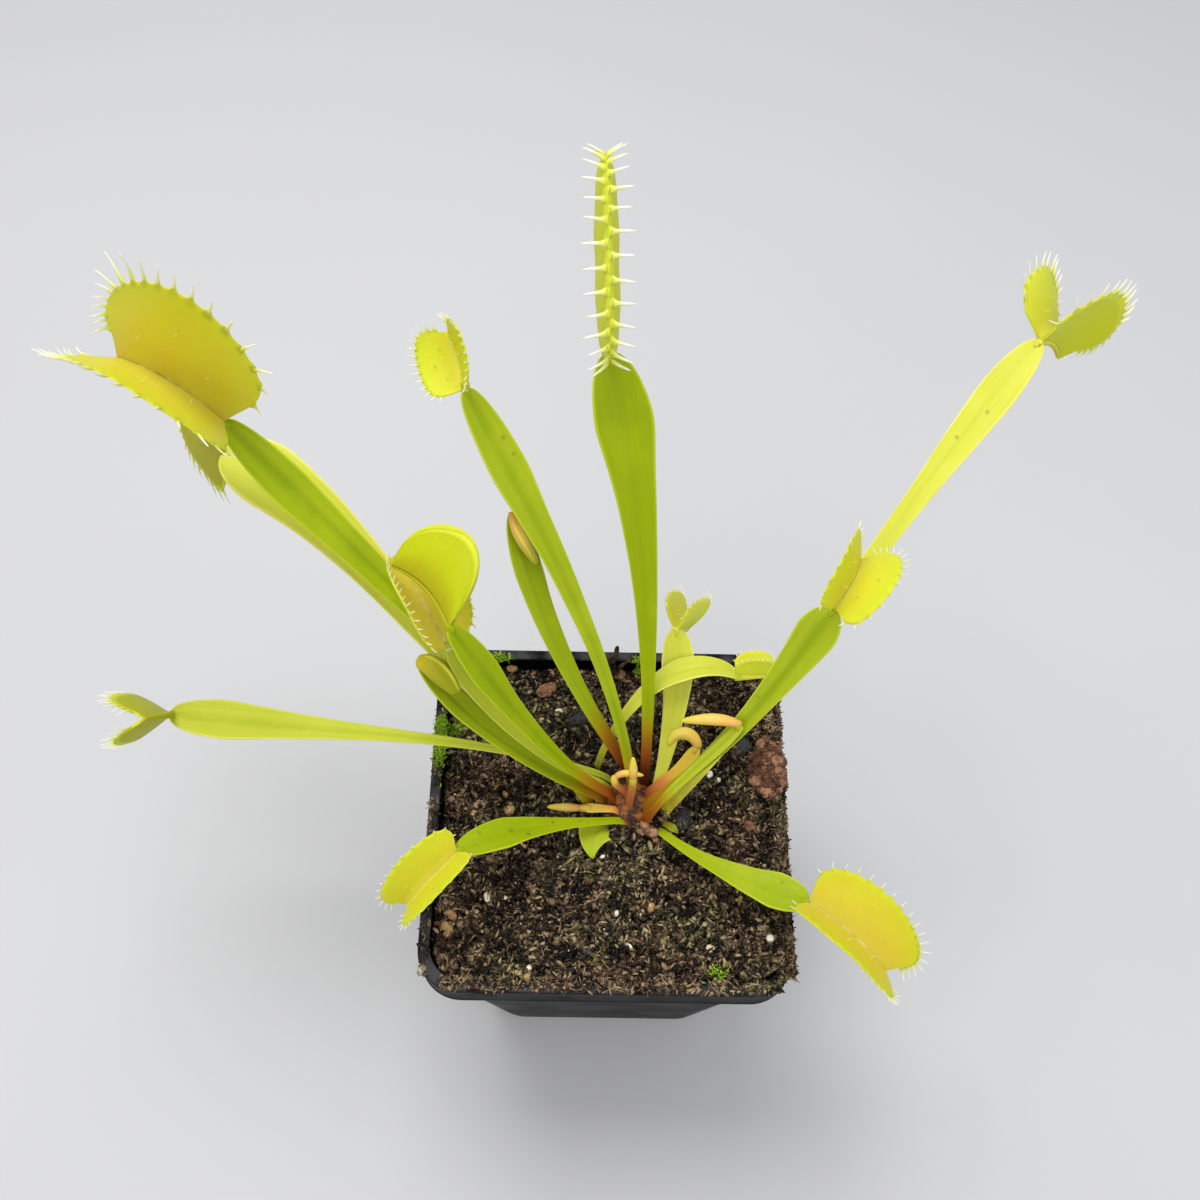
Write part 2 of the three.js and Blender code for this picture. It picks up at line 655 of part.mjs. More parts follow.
// A still folded trap: a slim pod, thicker in the middle, that bends back from the neck
function podSolid(pod, neck) {
  const at = spine(neck, pod.heading, pod.rise, pod.length);
  const rings = [];
  for (let i = 0; i <= POD_STEPS; i += 1) {
    const s = i / POD_STEPS;
    const swell = THREE.MathUtils.lerp(POD_SLIMNESS, 1, Math.sin(Math.PI * Math.min(s * 0.92 + 0.1, 1)));
    const { point, tangent } = at(s);
    const { normal, side } = sides(tangent, 0);
    rings.push(ovalRing(point, side, normal, pod.half * swell, pod.thick * swell));
  }
  return solidOf(loft(rings));
}

function leafSolid(leaf) {
  const solids = [petiole(leaf)];
  const neck = spine(footPoint(leaf), leaf.heading, leaf.rise, leaf.length)(1).point;
  const knot = new THREE.IcosahedronGeometry(KNOT_RADIUS, 0);
  knot.translate(neck.x, neck.y, neck.z);
  if (leaf.trap) {
    solids.push(solidOf(knot), ...trapSolids(leaf.trap, neck));
  }
  if (leaf.pod) {
    solids.push(solidOf(knot), podSolid(leaf.pod, neck));
  }
  return joined(solids);
}

function named(name, solid, color, roughness) {
  const material = new THREE.MeshStandardMaterial({ color, roughness, metalness: 0 });
  const mesh = new THREE.Mesh(geometryOf(solid), material);
  mesh.name = name;
  return mesh;
}

function leafColour(leaf) {
  if (leaf.pod && leaf.length < 40) {
    return BLUSH;
  }
  return PALE_LEAVES.includes(leaf.name) ? PALE : GREEN;
}

// Plain sockets for the leaves' feet, a little wider than the feet
const sockets = joined(LEAVES.map((leaf) => petiole(leaf, CLEAR, FOOT_REACH)));
const bed = largest(soil().subtract(crown(CLEAR)).subtract(sockets));
const heart = largest(crown(0).subtract(sockets));

const plant = new THREE.Group();
plant.add(named('pot', pot(), new THREE.Color(0x141416), 0.42));
plant.add(named('soil', bed, new THREE.Color(0x241a14), 0.95));
plant.add(named('crown', heart, new THREE.Color(0x6b3a22), 0.6));
for (const leaf of LEAVES) {
  plant.add(named(leaf.name, leafSolid(leaf), leafColour(leaf), 0.45));
}

export default plant;
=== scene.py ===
"""A potted Venus flytrap: finer leaves, traps, soil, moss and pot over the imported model's frame.

Shapes are worked out in millimetres with numpy, as closed skins of four-sided faces, and turned to
metres where the mesh is made. Every piece rides on the pot's one body. The letters s, t, q and u
stand for shares of a length or a width.
"""

import logging
from collections.abc import Iterable, Sequence
from dataclasses import dataclass
from enum import Enum
from typing import Any, ClassVar

import bpy
import numpy as np
from mathutils import Matrix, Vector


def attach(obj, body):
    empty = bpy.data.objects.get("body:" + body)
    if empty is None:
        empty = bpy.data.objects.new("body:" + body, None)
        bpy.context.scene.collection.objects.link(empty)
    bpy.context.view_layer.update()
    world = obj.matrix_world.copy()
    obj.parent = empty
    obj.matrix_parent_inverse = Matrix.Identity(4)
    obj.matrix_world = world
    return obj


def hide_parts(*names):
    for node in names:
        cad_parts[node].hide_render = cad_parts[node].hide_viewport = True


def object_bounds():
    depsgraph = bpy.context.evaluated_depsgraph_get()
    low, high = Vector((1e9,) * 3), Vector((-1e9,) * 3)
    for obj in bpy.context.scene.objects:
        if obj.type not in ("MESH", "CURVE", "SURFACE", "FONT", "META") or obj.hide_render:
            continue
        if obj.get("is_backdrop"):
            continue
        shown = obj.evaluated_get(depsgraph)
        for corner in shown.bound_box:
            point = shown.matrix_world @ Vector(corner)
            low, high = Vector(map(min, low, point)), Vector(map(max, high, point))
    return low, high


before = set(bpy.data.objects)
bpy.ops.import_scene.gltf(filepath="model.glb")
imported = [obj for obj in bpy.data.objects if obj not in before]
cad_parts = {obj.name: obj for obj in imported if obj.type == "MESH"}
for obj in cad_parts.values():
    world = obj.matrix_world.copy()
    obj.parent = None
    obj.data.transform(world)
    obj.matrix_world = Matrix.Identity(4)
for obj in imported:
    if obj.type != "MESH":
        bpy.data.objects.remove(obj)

LOG = logging.getLogger("flytrap")
CAD_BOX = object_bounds()
Array = np.ndarray
Triple = tuple[float, float, float]
Pair = tuple[float, float]

BODY = "root"
POT_HEIGHT = 80.0
RIM_SIDE = 83.0
RIM_CORNER = 9.0
BASE_SIDE = 61.0
BASE_CORNER = 10.5
LIP_HEIGHT = 9.0
LIP_PROUD = 1.4
LIP_DRAFT = 0.8
WALL = 1.3
FLOOR = 1.8
SOIL_LEVEL = 77.2
SOIL_RISE = 0.7
MOUTH_LEVEL = 78.0
ROOT_LEVEL = 75.4
TISSUE_IOR = 1.42


class Slot(str, Enum):
    """The record's material slots."""

    POT = "pot"
    SOIL = "soil"
    CROWN = "crown"
    GREEN = "leaf_green"
    PALE = "leaf_pale"
    NEW = "new_growth"


# Numbers and directions


def parabola(values: Triple, s: Array) -> Array:
    """The parabola through three values: v0 (1-s)(1-2s) + v1 4s(1-s) + v2 s(2s-1).

    Args:
        values: the values at s = 0, 0.5 and 1.
        s: where it is read.

    Returns:
        The values at s.
    """
    first, middle, last = values
    return first * (1 - s) * (1 - 2 * s) + middle * 4 * s * (1 - s) + last * s * (2 * s - 1)


def direction(heading: Any, rise: Any) -> Array:
    """Unit vectors from a heading (from +X) and a rise over the level, both in degrees."""
    turn, lift = np.radians(heading), np.radians(rise)
    return np.stack([np.cos(lift) * np.cos(turn), np.cos(lift) * np.sin(turn), np.sin(lift)], -1)


def unit(vectors: Array) -> Array:
    """The vectors with their lengths made one."""
    return vectors / np.maximum(np.linalg.norm(vectors, axis=-1, keepdims=True), 1e-9)


def sides(tangent: Array, heading: Any, roll: Any) -> tuple[Array, Array]:
    """The upper normal and the right-hand side of a strip.

    The level side is (sin h, -cos h, 0); the normal is that side crossed with the tangent, turned
    by the roll about the tangent.

    Args:
        tangent: unit tangents of the strip.
        heading: its heading in degrees, which stays known where the strip stands upright.
        roll: its turn about the tangent in degrees.

    Returns:
        The normals and the sides.
    """
    turn = np.radians(heading)
    across = np.stack([np.sin(turn), -np.cos(turn), np.zeros_like(turn)], -1)
    level = unit(np.cross(across, tangent))
    angle = np.radians(np.broadcast_to(roll, turn.shape))[..., None]
    normal = level * np.cos(angle) + np.cross(tangent, level) * np.sin(angle)
    return normal, np.cross(tangent, normal)


def curve(q: Array, *points: Array) -> Array:
    """The Bezier curve over its control points: neighbours are blended by q until one is left.

    Args:
        q: share of the way.
        points: its control points.

    Returns:
        The points at q.
    """
    while len(points) > 1:
        points = [a * (1 - q) + b * q for a, b in zip(points, points[1:])]
    return points[0]


def ripple(points: Array, cell: float, seed: int) -> Array:
    """Smooth seeded noise: 22 sine waves of random direction and length, summed, over 1.5 sqrt(22).

    Args:
        points: places in mm, last axis of two or three.
        cell: size of a bump in mm.
        seed: picks the waves.

    Returns:
        Values of about -1 to 1, with the shape of points without its last axis.
    """
    waves = 22
    rng = np.random.default_rng(seed)
    aim = unit(rng.normal(size=(waves, points.shape[-1])))
    pace = np.pi / cell * rng.uniform(0.6, 1.4, waves)
    phase = rng.uniform(0, 2 * np.pi, waves)
    total = np.zeros(points.shape[:-1])
    for k in range(waves):
        total += np.sin(points @ (aim[k] * pace[k]) + phase[k])
    return total / np.sqrt(waves) / 1.5


def ridges(points: Array, cell: float, seed: int) -> Array:
    """Noise with sharp crests, 1 - 2|ripple|, for fibrous ground and bark."""
    return 1 - 2 * np.abs(ripple(points, cell, seed))


def smooth(low: float, high: float, value: Array) -> Array:
    """Zero below low, one above high and 3x^2 - 2x^3 between."""
    x = np.clip((value - low) / (high - low), 0, 1)
    return x * x * (3 - 2 * x)


def bell(x: Array, width: Any) -> Array:
    """A bell curve, exp(-(x/width)^2)."""
    return np.exp(-((x / width) ** 2))


def rounded(x: Array, start: Any, reach: Any, least: float) -> Array:
    """A quarter-round end past start: sqrt(1 - ((x - start)/reach)^2), its square least or more."""
    return np.sqrt(np.clip(1 - (np.clip(x - start, 0, 1) / reach) ** 2, least, 1))


def turns(count: int, shift: float = 0.0) -> Array:
    """Equal steps round a full turn, in radians."""
    return (np.arange(count) + shift) * 2 * np.pi / count


def stacked(*values: Any) -> Array:
    """Broadcasts numbers or arrays against each other and stacks them on a last axis."""
    return np.stack(np.broadcast_arrays(*[np.asarray(v, dtype=float) for v in values]), -1)


# Skins and meshes


@dataclass
class Skin:
    """Closed surfaces of one finish, with the marks that the materials read.

    place holds how far along (0 to 1), how far across (-1 to 1, or 0 to 1 up a lobe, or how near a
    pod's lips) and which face (1 upper or inner, -1 lower or outer); grain holds mm along, mm across
    and how striped or keeled it is; hue holds tint, blush and shade, or a lobe's warm, deep, shade.
    """

    points: Array
    faces: Array
    place: Array
    grain: Array
    hue: Array
    finish: int = 0


def outward(points: Array, faces: Array) -> Array:
    """Turns the faces of each body so that they point out of it.

    The volume is the sum of p0 . (p1 x p2) + p0 . (p2 x p3) over a body's faces, over 6.

    Args:
        points: shape (bodies, points, 3).
        faces: one body's faces, shape (faces, 4).

    Returns:
        Faces of all bodies, shape (bodies, faces, 4), indexed within each body.
    """
    centred = points[:, faces] - points.mean(axis=1)[:, None, None]
    cross = np.cross(centred[:, :, 1], centred[:, :, 2]) + np.cross(centred[:, :, 2], centred[:, :, 3])
    volume = np.einsum("nfk,nfk->n", centred[:, :, 0], cross)
    turned = np.repeat(faces[None], len(points), axis=0)
    turned[volume < 0] = turned[volume < 0][:, :, ::-1]
    return turned


def lofted(rings: Array, place: Any = 0.0, grain: Any = 0.0, hue: Any = 0.0, finish: int = 0) -> Skin:
    """Closed skins over rings of points, one body or a batch.

    Neighbouring rings are joined by quads; each end is closed by a strip that pairs point j of the
    ring with point K-1-j. Where K is odd the strip ends in a triangle, written as a face whose last
    index repeats its first.

    Args:
        rings: shape (..., stations, around, 3).
        place: marks that broadcast to the shape of rings, and so do grain and hue.
        grain: see place.
        hue: see place.
        finish: index of the piece's material.

    Returns:
        One skin that holds every body.
    """
    stations, around = rings.shape[-3:-1]
    bodies = rings.reshape(-1, stations * around, 3)
    i, j = np.meshgrid(np.arange(stations - 1), np.arange(around), indexing="ij")
    a, b = i * around + j, i * around + (j + 1) % around
    wall = np.stack([a, b, b + around, a + around], -1).reshape(-1, 4)
    j = np.arange((around - 1) // 2)
    strip = np.stack([j, j + 1, around - 2 - j, around - 1 - j], -1)
    if around % 2:
        strip[-1] = strip[-1, [0, 1, 3, 0]]
    faces = np.vstack([wall, strip[:, ::-1], strip + (stations - 1) * around])
    turned = outward(bodies, faces) + (np.arange(len(bodies)) * stations * around)[:, None, None]
    marks = [np.broadcast_to(m, rings.shape).reshape(-1, 3) for m in (place, grain, hue)]
    return Skin(bodies.reshape(-1, 3), turned.reshape(-1, 4), *marks, finish)


def tube(
    line: Array, side: Array, normal: Array, wide: Any, tall: Any, around: int, shift: float = 0.0
) -> Array:
    """Oval rings carried along a line: line + side wide cos(a) + normal tall sin(a).

    Args:
        line: centres, shape (..., stations, 3).
        side: unit vectors that broadcast to the line.
        normal: unit vectors that broadcast to the line.
        wide: half width, which broadcasts to (..., stations, around).
        tall: half height, which broadcasts in the same way.
        around: points in a ring.
        shift: the first point's place in steps.

    Returns:
        Rings, shape (..., stations, around, 3).
    """
    angle = turns(around, shift)
    out, up = (wide * np.cos(angle))[..., None], (tall * np.sin(angle))[..., None]
    return line[..., None, :] + out * side[..., None, :] + up * normal[..., None, :]


def piece(
    name: str, skins: Sequence[Skin], finishes: Sequence["Finish"], slot: Slot, nodes: Sequence[str] = ()
) -> bpy.types.Object:
    """Makes one object of skins, gives it its marks and materials and lets it ride on the body.

    Args:
        name: the object's name.
        skins: its surfaces, in mm.
        finishes: its materials, in the order of the skins' finish numbers.
        slot: the record's slot; not used.
        nodes: CAD nodes that it stands for.

    Returns:
        The object, at the origin, unturned and unscaled.
    """
    starts = np.cumsum([0] + [len(s.points) for s in skins])
    points = np.vstack([s.points for s in skins]) / 1000
    faces = np.vstack([s.faces + at for s, at in zip(skins, starts)])
    numbers = np.concatenate([np.full(len(s.faces), s.finish, dtype=np.int32) for s in skins])
    kept = np.ones(faces.shape, dtype=bool)
    kept[:, 3] = faces[:, 3] != faces[:, 0]
    corners = kept.sum(axis=1)
    mesh = bpy.data.meshes.new(name)
    mesh.vertices.add(len(points))
    mesh.vertices.foreach_set("co", points.astype(np.float32).ravel())
    mesh.loops.add(int(corners.sum()))
    mesh.loops.foreach_set("vertex_index", faces[kept].astype(np.int32))
    mesh.polygons.add(len(faces))
    mesh.polygons.foreach_set("loop_start", (np.cumsum(corners) - corners).astype(np.int32))
    mesh.polygons.foreach_set("use_smooth", np.ones(len(faces), dtype=bool))
    for finish in finishes:
        mesh.materials.append(finish.material())
    mesh.polygons.foreach_set("material_index", numbers)
    mesh.update(calc_edges=True)
    for mark in ("place", "grain", "hue"):
        values = np.vstack([getattr(s, mark) for s in skins]).astype(np.float32)
        mesh.attributes.new(mark, "FLOAT_VECTOR", "POINT").data.foreach_set("vector", values.ravel())
    made = bpy.data.objects.new(name, mesh)
    bpy.context.scene.collection.objects.link(made)
    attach(made, BODY)
    if nodes:
        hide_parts(*nodes)
    LOG.info("%s: %d triangles", name, int((corners - 2).sum()))
    return made


# Materials


def linear(code: str) -> tuple[float, ...]:
    """Turns an sRGB hex colour such as "#B9D400" to linear, with an alpha of one.

    Each part is c/12.92 up to 0.04045 and ((c+0.055)/1.055)^2.4 above.
    """
    parts = [int(code[i : i + 2], 16) / 255 for i in (1, 3, 5)]
    return *[c / 12.92 if c <= 0.04045 else ((c + 0.055) / 1.055) ** 2.4 for c in parts], 1.0


class Kind(Enum):
    """Shader nodes: type, the sockets that are filled in order, the output that is read, settings."""

    PLACE = ("TexCoord", (), "Object", {})
    MARK = ("Attribute", (), "Vector", {})
    MOVE = ("Mapping", (0, 3), 0, {})
    SPLIT = ("SeparateXYZ", (0,), 2, {})
    JOIN = ("CombineXYZ", (0, 1), 0, {})
    NOISE = ("TexNoise", (0, "Scale", "Detail"), 0, {})
    CELLS = ("TexVoronoi", (0, "Scale"), 0, {})
    RAMP = ("ValToRGB", (0,), 0, {})
    EASE = ("MapRange", (0, 1, 2, 4), 0, {"interpolation_type": "SMOOTHSTEP"})
    SUM = ("Math", (0, 1), 0, {"operation": "ADD"})
    PRODUCT = ("Math", (0, 1), 0, {"operation": "MULTIPLY"})
    LINE = ("Math", (0, 1, 2), 0, {"operation": "MULTIPLY_ADD"})
    SIZE = ("Math", (0,), 0, {"operation": "ABSOLUTE"})
    MIX = ("Mix", (0, 6, 7), 2, {"data_type": "RGBA"})
    SCREEN = ("Mix", (0, 6, 7), 2, {"data_type": "RGBA", "blend_type": "SCREEN"})
    RECOLOUR = ("Mix", (0, 6, 7), 2, {"data_type": "RGBA", "blend_type": "COLOR"})
    BUMP = ("Bump", ("Height", "Distance", "Strength", "Normal"), 0, {})


@dataclass(frozen=True)
class Coat:
    """The nodes of one material round its Principled surface."""

    tree: bpy.types.NodeTree
    surface: bpy.types.Node

    def fill(self, node: bpy.types.Node, key: str | int, value: Any) -> None:
        """Links a node's socket to another one, or sets it to a number or an sRGB hex colour.

        Args:
            node: whose socket.
            key: the socket's name or number.
            value: number, hex colour or socket.
        """
        if isinstance(value, bpy.types.NodeSocket):
            self.tree.links.new(value, node.inputs[key])
        else:
            node.inputs[key].default_value = linear(value) if isinstance(value, str) else value

    def add(
        self, kind: Kind, *values: Any, stops: Iterable[tuple[float, str]] = (), **settings: Any
    ) -> bpy.types.NodeSocket:
        """Adds a node with its settings, values and links.

        Args:
            kind: which node.
            values: what goes to its sockets: numbers, hex colours or the sockets that feed them.
            stops: a ramp's places and hex colours.
            settings: the node's own properties.

        Returns:
            Its output.
        """
        name, sockets, output, fixed = kind.value
        node = self.tree.nodes.new("ShaderNode" + name)
        for key, value in {**fixed, **settings}.items():
            setattr(node, key, value)
        for key, value in zip(sockets, values):
            self.fill(node, key, value)
        for number, (at, code) in enumerate(stops):
            elements = node.color_ramp.elements
            element = elements[number] if number < len(elements) else elements.new(1.0)
            element.position, element.color = at, linear(code)
        return node.outputs[output]

    def marks(self, name: str) -> list[bpy.types.NodeSocket]:
        """The three numbers of one of the piece's own marks: place, grain or hue."""
        mark = self.add(Kind.MARK, attribute_name=name)
        return list(self.add(Kind.SPLIT, mark).node.outputs)

    def noise(self, size: float, detail: float = 3.0, pace: Triple = (1, 1, 1)) -> bpy.types.NodeSocket:
        """Noise on Object coordinates.

        Args:
            size: size of a patch in mm.
            detail: finer layers.
            pace: how much closer the pattern runs along x, y and z.

        Returns:
            The noise's number, about 0.3 to 0.7.
        """
        place = self.add(Kind.MOVE, self.add(Kind.PLACE), pace)
        return self.add(Kind.NOISE, place, 1000 / size, detail)

    def veins(self, along: float, across: float) -> bpy.types.NodeSocket:
        """Noise in streaks that follow the surface, of so many waves in a mm along and across.

        Args:
            along: waves in a mm along.
            across: waves in a mm across.

        Returns:
            The noise's number.
        """
        marks = zip(self.marks("grain"), (along, across))
        lines = self.add(Kind.JOIN, *[self.add(Kind.PRODUCT, mark, pace) for mark, pace in marks])
        return self.add(Kind.NOISE, lines, 1.0, 2.0)

    def lay(
        self, under: Any, value: Any, low: float, high: float, share: float, over: Any,
        kind: Kind = Kind.MIX,
    ) -> bpy.types.NodeSocket:
        """Lays a colour over another where a value is high.

        Args:
            under: hex colour or socket.
            value: what is read.
            low: value where nothing is laid.
            high: value where the colour is laid at its share.
            share: how much of it.
            over: hex colour or socket.
            kind: how they mix.

        Returns:
            The colour.
        """
        return self.add(kind, self.add(Kind.EASE, value, low, high, share), under, over)

    def cover(
        self, colour: Any, bumps: Sequence[tuple[Any, float, float]], rough: Any,
        flesh: tuple[float, float, Triple] | None = None, **values: Any,
    ) -> None:
        """Drives the surface.

        Args:
            colour: its colour.
            bumps: height, depth in mm and strength of each bump, from the lowest one up.
            rough: its roughness.
            flesh: weight, depth in metres and colours of the light that spreads inside it.
            values: its other sockets, with underscores for spaces.
        """
        inputs = {"Base Color": colour, "Roughness": rough}
        for height, depth, strength in bumps:
            under = [inputs["Normal"]] if "Normal" in inputs else []
            inputs["Normal"] = self.add(Kind.BUMP, height, depth / 1000, strength, *under)
        if flesh:
            names = ("Subsurface Weight", "Subsurface Scale", "Subsurface Radius", "IOR")
            inputs.update(zip(names, (*flesh, TISSUE_IOR)))
        inputs.update({key.replace("_", " "): value for key, value in values.items()})
        for key, value in inputs.items():
            self.fill(self.surface, key, value)


@dataclass(frozen=True)
class Finish:
    """A material with one Principled surface, which each kind of finish paints."""

    name: str

    def material(self) -> bpy.types.Material:
        """The material, made at its first use.

        Returns:
            The material.
        """
        made = bpy.data.materials.get(self.name)
        if made is None:
            made = bpy.data.materials.new(self.name)
            made.use_nodes = True
            self.paint(Coat(made.node_tree, made.node_tree.nodes["Principled BSDF"]))
        return made

    def paint(self, coat: Coat) -> None:
        """Adds the nodes that drive the surface."""
        raise NotImplementedError


@dataclass(frozen=True)
class LeafBlade(Finish):
    """Living petiole blade: waxy skin over lit green flesh, paler margin and underside.

    It gives the eye a satin yellow-green with a deeper middle stripe, fine veins that run along the
    blade and an orange to brown-red foot. Each pair is its colour at tint 0 and at tint 1.
    """

    stripe: tuple[str, str] = ("#7C9400", "#B2BC1A")
    body: tuple[str, str] = ("#96A900", "#D6D84C")
    margin: tuple[str, str] = ("#BCCC26", "#F0EC86")
    under: str = "#A9B61A"
    flush: tuple[str, str, str, str] = ("#AEA60C", "#A8820E", "#954E18", "#48200C")

    def paint(self, coat: Coat) -> None:
        """Stripe to margin by the distance across, tint between two greens, blush at the foot, and painted
        shade by the hue's shade.

        Args:
            coat: the material's nodes.
        """
        add, lay = coat.add, coat.lay
        _, across, upper = coat.marks("place")
        _, _, striped = coat.marks("grain")
        tint, blush, shade = coat.marks("hue")
        stripe, body, margin = [add(Kind.MIX, tint, *c) for c in (self.stripe, self.body, self.margin)]
        spread = add(Kind.SIZE, across)
        near = add(Kind.SUM, spread, add(Kind.LINE, coat.noise(9.0), 0.3, -0.15))
        green = add(Kind.MIX, add(Kind.PRODUCT, add(Kind.EASE, near, 0.5, 0.02), striped), body, stripe)
        green = lay(green, coat.noise(11.0), 0.45, 0.7, 0.3, add(Kind.MIX, tint, "#B0BE0A", "#DCDE62"))
        green = lay(green, spread, 0.86, 0.99, 0.9, margin)
        veins = coat.veins(0.06, 1.9)
        green = lay(green, veins, 0.5, 0.7, 0.22, stripe)
        green = lay(green, upper, 0.2, -0.6, 0.6, self.under)
        foot = add(Kind.RAMP, blush, stops=zip((0.0, 0.4, 0.75, 1.0), self.flush))
        reach = add(Kind.LINE, coat.noise(1.6, 2.0), 0.35, blush)
        # Painted shade: the hue's shade darkens the blade towards #4E4A08.
        colour = lay(lay(green, reach, 0.16, 0.72, 1.0, foot), shade, 0.0, 1.0, 0.6, "#4E4A08")
        bumps = [(coat.noise(0.35, 2.0), 0.04, 0.3), (veins, 0.12, 0.45)]
        rough = add(Kind.SUM, add(Kind.EASE, coat.noise(3.0), 0.2, 0.9, 0.25), 0.38)
        flesh = (0.14, 0.0014, (0.8, 1.0, 0.05))
        coat.cover(colour, bumps, rough, flesh, Specular_IOR_Level=0.16)


@dataclass(frozen=True)
class TrapLobe(Finish):
    """Trap lobe: glandular inner face with a bare rim band, and a waxy green outer face.

    Inside it gives the eye a dry orange-yellow flush that fades to a green-yellow band below the
    teeth, with tiny gland dots; outside it is a satin green with faint veins to the margin. All
    colours run from midrib to rim. gland is the dots' spacing in mm, wide enough for them to show.
    """

    # inner runs from midrib to rim; its first colour is a painted highlight, a pale line on the midrib's
    # crease.
    inner: tuple[str, str, str, str, str] = ("#FAF4B0", "#D2BE42", "#D2BE36", "#CCC026", "#C8C622")
    inner_green: tuple[str, str, str] = ("#E6E25E", "#CCCC24", "#CCD62A")
    outer: tuple[str, str, str] = ("#BAB808", "#B6BE06", "#D6DE3E")
    # outer_deep is the outside's deeper green, laid by deep; it is in part painted shade on lobes that sit
    # in shadow.
    outer_deep: tuple[str, str, str] = ("#948E06", "#A29E08", "#C6C824")
    outer_pale: str = "#DCE63C"
    keel: str = "#94860E"
    gland: float = 0.42

    def paint(self, coat: Coat) -> None:
        """Midrib to rim by the row; tint sets how orange the inside, blush how deep the outside; shade
        paints shade over the lobes and, below 0, painted light that lightens them.

        Args:
            coat: the material's nodes.
        """
        add, lay = coat.add, coat.lay
        _, row, face = coat.marks("place")
        _, _, keeled = coat.marks("grain")
        tint, deep, shade = coat.marks("hue")
        wobble = add(Kind.LINE, coat.noise(1.6, 2.0), 0.07, row)
        # The warm ramp's first colour is a painted highlight: a pale line along the midrib's crease.
        warm = add(Kind.RAMP, wobble, stops=zip((0.06, 0.085, 0.5, 0.9, 0.955), self.inner))
        cool = add(Kind.RAMP, row, stops=zip((0.0, 0.3, 0.95), self.inner_green))
        warmth = add(Kind.SUM, tint, add(Kind.LINE, coat.noise(4.5), 0.7, -0.35), use_clamp=True)
        inside = add(Kind.MIX, warmth, cool, warm)
        pair = [
            add(Kind.RAMP, row, stops=[(0.0, heart), (0.45, body), (0.88, body), (0.96, rim)])
            for heart, body, rim in (self.outer, self.outer_deep)
        ]
        veins = coat.veins(1.3, 0.16)
        outside = lay(add(Kind.MIX, deep, *pair), veins, 0.52, 0.7, 0.14, self.outer_deep[0])
        outside = lay(outside, keeled, 0.0, -1.0, 0.8, self.outer_pale)
        brown = add(Kind.PRODUCT, add(Kind.EASE, row, 0.5, 0.04), keeled, use_clamp=True)
        outside = add(Kind.MIX, brown, outside, self.keel)
        turned = add(Kind.EASE, face, -0.3, 0.3)
        colour = add(Kind.MIX, turned, outside, inside)
        glands = add(Kind.CELLS, add(Kind.PLACE), 1000 / self.gland)
        dots = add(Kind.PRODUCT, add(Kind.EASE, glands, 0.32, 0.1), add(Kind.EASE, row, 0.9, 0.8))
        dots = add(Kind.PRODUCT, dots, turned)
        colour = add(Kind.MIX, add(Kind.PRODUCT, dots, 0.12), colour, "#C8803A")
        # Painted shade: a shade above 0 darkens the lobes towards #5A4A12.
        colour = lay(colour, shade, 0.0, 1.0, 0.6, "#5A4A12")
        # Painted light: a shade below 0 screens the lobes lighter, as if lit through their thin tissue.
        lit = add(Kind.MIX, turned, "#96A416", "#988A30")
        colour = lay(colour, shade, 0.0, -1.0, 1.0, lit, Kind.SCREEN)
        bumps = [(dots, 0.05, 0.5), (veins, 0.12, 0.4), (coat.noise(0.5, 2.0), 0.04, 0.4)]
        flesh = (0.35, 0.0018, (0.9, 1.0, 0.15))
        coat.cover(colour, bumps, 0.5, flesh, Specular_IOR_Level=0.22)


@dataclass(frozen=True)
class TrapBristle(Finish):
    """Marginal bristle: stiff leaf tissue that pales to a waxy cream tip."""

    root: str = "#CEDA30"
    middle: str = "#E6E882"
    tip: str = "#FBF8E6"

    def paint(self, coat: Coat) -> None:
        """Root colour to tip colour along the bristle, with a fine grain.

        Args:
            coat: the material's nodes.
        """
        along, _, _ = coat.marks("place")
        stops = zip((0.0, 0.12, 0.36, 0.7), (self.root, self.root, self.middle, self.tip))
        colour = coat.add(Kind.RAMP, along, stops=stops)
        colour = coat.lay(colour, coat.noise(0.9, 2.0), 0.45, 0.7, 0.3, self.root)
        flesh = (0.25, 0.001, (1.0, 1.0, 0.4))
        coat.cover(colour, [(coat.noise(0.25, 2.0), 0.03, 0.4)], 0.42, flesh)


@dataclass(frozen=True)
class FoldedTrap(Finish):
    """New trap, still folded: smooth downy tissue, pink-orange where young, greener with age."""

    young: tuple[str, str, str] = ("#DEA24A", "#E8C660", "#E0C83C")
    grown: tuple[str, str, str] = ("#D2BE14", "#A6A406", "#A4AC08")
    lip: str = "#ECEA4C"

    def paint(self, coat: Coat) -> None:
        """Colour along the pod between young and grown by tint, a pale lip at the seam, and painted
        shade by the hue's shade.

        Args:
            coat: the material's nodes.
        """
        add, lay = coat.add, coat.lay
        along, seam, _ = coat.marks("place")
        tint, blush, shade = coat.marks("hue")
        ages = [add(Kind.RAMP, along, stops=zip((0.0, 0.5, 1.0), c)) for c in (self.young, self.grown)]
        cloud = add(Kind.MIX, tint, "#EED27A", "#A8A60A")
        colour = lay(add(Kind.MIX, tint, *ages), coat.noise(2.2), 0.4, 0.7, 0.25, cloud)
        colour = lay(colour, seam, 0.1, 0.8, 0.9, self.lip)
        # Painted shade: the hue's shade darkens the pod towards #6A3A12.
        colour = lay(add(Kind.MIX, blush, colour, "#CC7A44"), shade, 0.0, 1.0, 0.7, "#6A3A12")
        bumps = [(coat.noise(0.3, 2.0), 0.04, 0.4), (coat.noise(1.4, 2.0), 0.12, 0.4)]
        flesh = (0.18, 0.0015, (1.0, 0.7, 0.2))
        coat.cover(colour, bumps, 0.42, flesh, Specular_IOR_Level=0.35)


